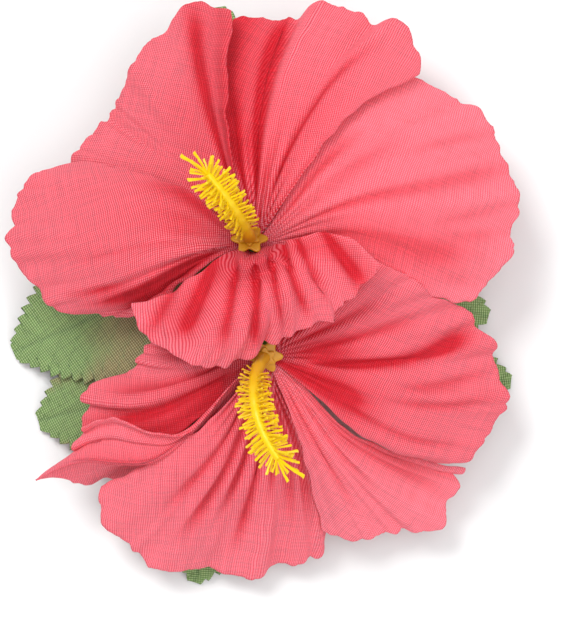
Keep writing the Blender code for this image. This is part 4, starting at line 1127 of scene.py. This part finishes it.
class FLOWERCLIP_OT_glue(Operator):
    """Makes the two beads of hot-melt glue on the fin's rim"""

    bl_idname = "flowerclip.glue"
    bl_label = "Glue beads"

    def execute(self, context):
        finish = melted_glue(context.scene.flowerclip_hardware)
        for bloom in STAMENS:
            low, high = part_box(bloom + "_glue_bead")
            size = high - low
            bpy.ops.object.select_all(action="DESELECT")
            middle = (low + high) / 2
            bpy.ops.mesh.primitive_uv_sphere_add(segments=48, ring_count=32, radius=0.5, location=middle)
            piece = bpy.context.object
            piece.name = bloom + "_glue_blob"
            piece.scale = size
            bpy.ops.object.transform_apply(location=False, rotation=False, scale=True)
            # Glue sags down both sides of the rim and climbs the stem a little
            for vertex in piece.data.vertices:
                lump = noise.noise(vertex.co * 420 + Vector((0, 0, len(bloom)))) * 0.12
                vertex.co *= 1 + lump
                if vertex.co.z < 0:
                    vertex.co.xy *= 1 + 0.08 * math.sin(5 * math.atan2(vertex.co.y, vertex.co.x))
            bpy.ops.object.shade_smooth()
            place_piece(piece, finish, BLOOM_BODY, "hot_glue", bloom + "_glue_bead")
        return {"FINISHED"}


class FLOWERCLIP_OT_jaws(Operator):
    """Makes the skins of the two moulded jaws, with their edges rounded"""

    bl_idname = "flowerclip.jaws"
    bl_label = "Jaws"

    def execute(self, context):
        settings = context.scene.flowerclip_hardware
        finish = clip_styrene(settings)
        for node, body in (("upper_jaw", BLOOM_BODY), ("lower_jaw", LOWER_BODY)):
            piece = bpy.data.objects.new(node + "_moulding", frame["nodes"][node].data.copy())
            bpy.context.scene.collection.objects.link(piece)
            choose(piece)
            bpy.ops.object.mode_set(mode="EDIT")
            bpy.ops.mesh.select_all(action="SELECT")
            bpy.ops.mesh.remove_doubles(threshold=0.01 * MM)
            bpy.ops.object.mode_set(mode="OBJECT")
            skin = piece.modifiers.new("skin", "REMESH")
            skin.mode = "VOXEL"
            skin.voxel_size = settings.skin
            rounded = piece.modifiers.new("rounded", "SMOOTH")
            rounded.factor = 0.5
            rounded.iterations = 5
            apply_modifiers(piece)
            bpy.ops.object.shade_smooth()
            place_piece(piece, finish, body, "clip_plastic", node)
        return {"FINISHED"}


class FLOWERCLIP_OT_rivet(Operator):
    """Makes the hollow rivet that the jaws turn on"""

    bl_idname = "flowerclip.rivet"
    bl_label = "Rivet"

    def execute(self, context):
        low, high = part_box("hinge_pin")
        half = (high.x - low.x) / 2
        head = (high.z - low.z) / 2
        barrel, bore, rim = 1.5 * MM, 1.1 * MM, 0.5 * MM
        profile = (
            (bore * 1.12, half), (head - 0.2 * MM, half), (head, half - 0.15 * MM), (head, half - 0.35 * MM),
            (head - 0.15 * MM, half - rim), (barrel, half - rim), (barrel, -half + rim),
            (head - 0.15 * MM, -half + rim), (head, -half + 0.35 * MM), (head, -half + 0.15 * MM),
            (head - 0.2 * MM, -half), (bore * 1.12, -half), (bore, -half + 0.3 * MM), (bore, half - 0.3 * MM),
        )
        piece = turned_piece("hinge_rivet", profile, 56, closed=True)
        piece.data.transform(Matrix.Translation((low + high) / 2) @ Matrix.Rotation(math.pi / 2, 4, "Y"))
        finish = rolled_steel(context.scene.flowerclip_hardware)
        place_piece(piece, finish, LOWER_BODY, "spring_steel", "hinge_pin")
        return {"FINISHED"}


class FLOWERCLIP_OT_spring(Operator):
    """Makes the leaf spring"""

    bl_idname = "flowerclip.spring"
    bl_label = "Leaf spring"

    def execute(self, context):
        settings = context.scene.flowerclip_hardware
        low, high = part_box("leaf_spring")
        rows = 140
        line = smooth(SPRING_LINE, np.linspace(0, 1, rows)) * MM
        half = (high.x - low.x) / 2
        sides = np.linspace(-1, 1, 9)
        # The strip's ends are rounded over their last 6 rows
        steps = np.arange(rows)
        inward = np.clip(np.minimum(steps, rows - 1 - steps) / 6, 0, 1)
        ends = np.sqrt(np.clip(1 - (1 - inward) ** 2, 0.2, 1))
        grid = np.zeros((rows, len(sides), 3))
        grid[:, :, 0] = (low.x + high.x) / 2 + sides[None, :] * half * ends[:, None]
        grid[:, :, 1] = HINGE.y + line[:, 0, None]
        grid[:, :, 2] = HINGE.z + line[:, 1, None]
        piece = cloth_piece("leaf_spring_strip", grid, grid[:, :, :2], {}, settings.spring_thickness)
        soften(piece, 0.08 * MM)
        finish = bpy.data.materials.get("spring_rolled_steel") or rolled_steel(settings)
        place_piece(piece, finish, None, "spring_steel", "leaf_spring")
        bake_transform(piece)
        return {"FINISHED"}


class FLOWERCLIP_OT_stage(Operator):
    """Makes the pale floor, the soft lights and the camera"""

    bl_idname = "flowerclip.stage"
    bl_label = "Stage"

    def execute(self, context):
        settings = context.scene.flowerclip_stage
        bpy.ops.object.select_all(action="DESELECT")
        bpy.ops.mesh.primitive_plane_add(size=8, location=(0, 0, -0.05 * MM))
        floor = bpy.context.object
        floor.name = "paper_floor"
        paper, _ = new_material("floor_matt_paper")
        matt = {"Base Color": (*settings.floor_colour, 1), "Roughness": 0.9}
        floor.data.materials.append(finished(paper, matt))

        distance = settings.camera_distance
        camera = bpy.data.objects.new("camera", bpy.data.cameras.new("camera"))
        context.scene.collection.objects.link(camera)
        camera.location = VIEW_TARGET + Vector((0, 0, distance))
        camera.data.sensor_width = 36
        camera.data.lens = camera.data.sensor_width * distance / VIEW_HEIGHT
        camera.data.clip_end = 20
        context.scene.camera = camera

        for name, (place, power, size) in LIGHTS.items():
            light = bpy.data.lights.new(name, "AREA")
            light.energy = power
            light.size = size
            lamp = bpy.data.objects.new(name, light)
            context.scene.collection.objects.link(lamp)
            lamp.location = place
            lamp.rotation_euler = (VIEW_TARGET - Vector(place)).to_track_quat("-Z", "Y").to_euler()
        world = bpy.data.worlds.new("studio")
        world.use_nodes = True
        sky = world.node_tree.nodes["Background"]
        sky.inputs["Color"].default_value = (*linear("#fbfbff"), 1)
        sky.inputs["Strength"].default_value = 0.45
        context.scene.world = world
        context.scene.view_settings.view_transform = "Standard"
        return {"FINISHED"}


OPERATORS = (
    FLOWERCLIP_OT_calyxes, FLOWERCLIP_OT_glue, FLOWERCLIP_OT_petals, FLOWERCLIP_OT_leaves, FLOWERCLIP_OT_stamens,
    FLOWERCLIP_OT_jaws, FLOWERCLIP_OT_rivet, FLOWERCLIP_OT_spring, FLOWERCLIP_OT_stage,
)
SETTINGS = {
    "flowerclip_petals": ClipPetalSettings,
    "flowerclip_leaves": ClipLeafSettings,
    "flowerclip_stamens": ClipStamenSettings,
    "flowerclip_hardware": ClipHardwareSettings,
    "flowerclip_stage": ClipStageSettings,
}


class VIEW3D_PT_flowerclip(Panel):
    """Sizes and colours of the flower clip, and a button for each group of pieces"""

    bl_label = "Flower clip"
    bl_space_type = "VIEW_3D"
    bl_region_type = "UI"
    bl_category = "Flower clip"

    def draw(self, context):
        for name, kind in SETTINGS.items():
            box = self.layout.box()
            for label in kind.__annotations__:
                box.prop(getattr(context.scene, name), label)
        for operator in OPERATORS:
            self.layout.operator(operator.bl_idname)


def register():
    for kind in (*SETTINGS.values(), *OPERATORS, VIEW3D_PT_flowerclip):
        bpy.utils.register_class(kind)
    for name, kind in SETTINGS.items():
        setattr(bpy.types.Scene, name, PointerProperty(type=kind))


def unregister():
    for name in SETTINGS:
        delattr(bpy.types.Scene, name)
    for kind in (VIEW3D_PT_flowerclip, *reversed(OPERATORS), *SETTINGS.values()):
        bpy.utils.unregister_class(kind)


def main():
    register()
    for operator in OPERATORS:
        group, name = operator.bl_idname.split(".")
        getattr(getattr(bpy.ops, group), name)()


if __name__ == "__main__":
    main()
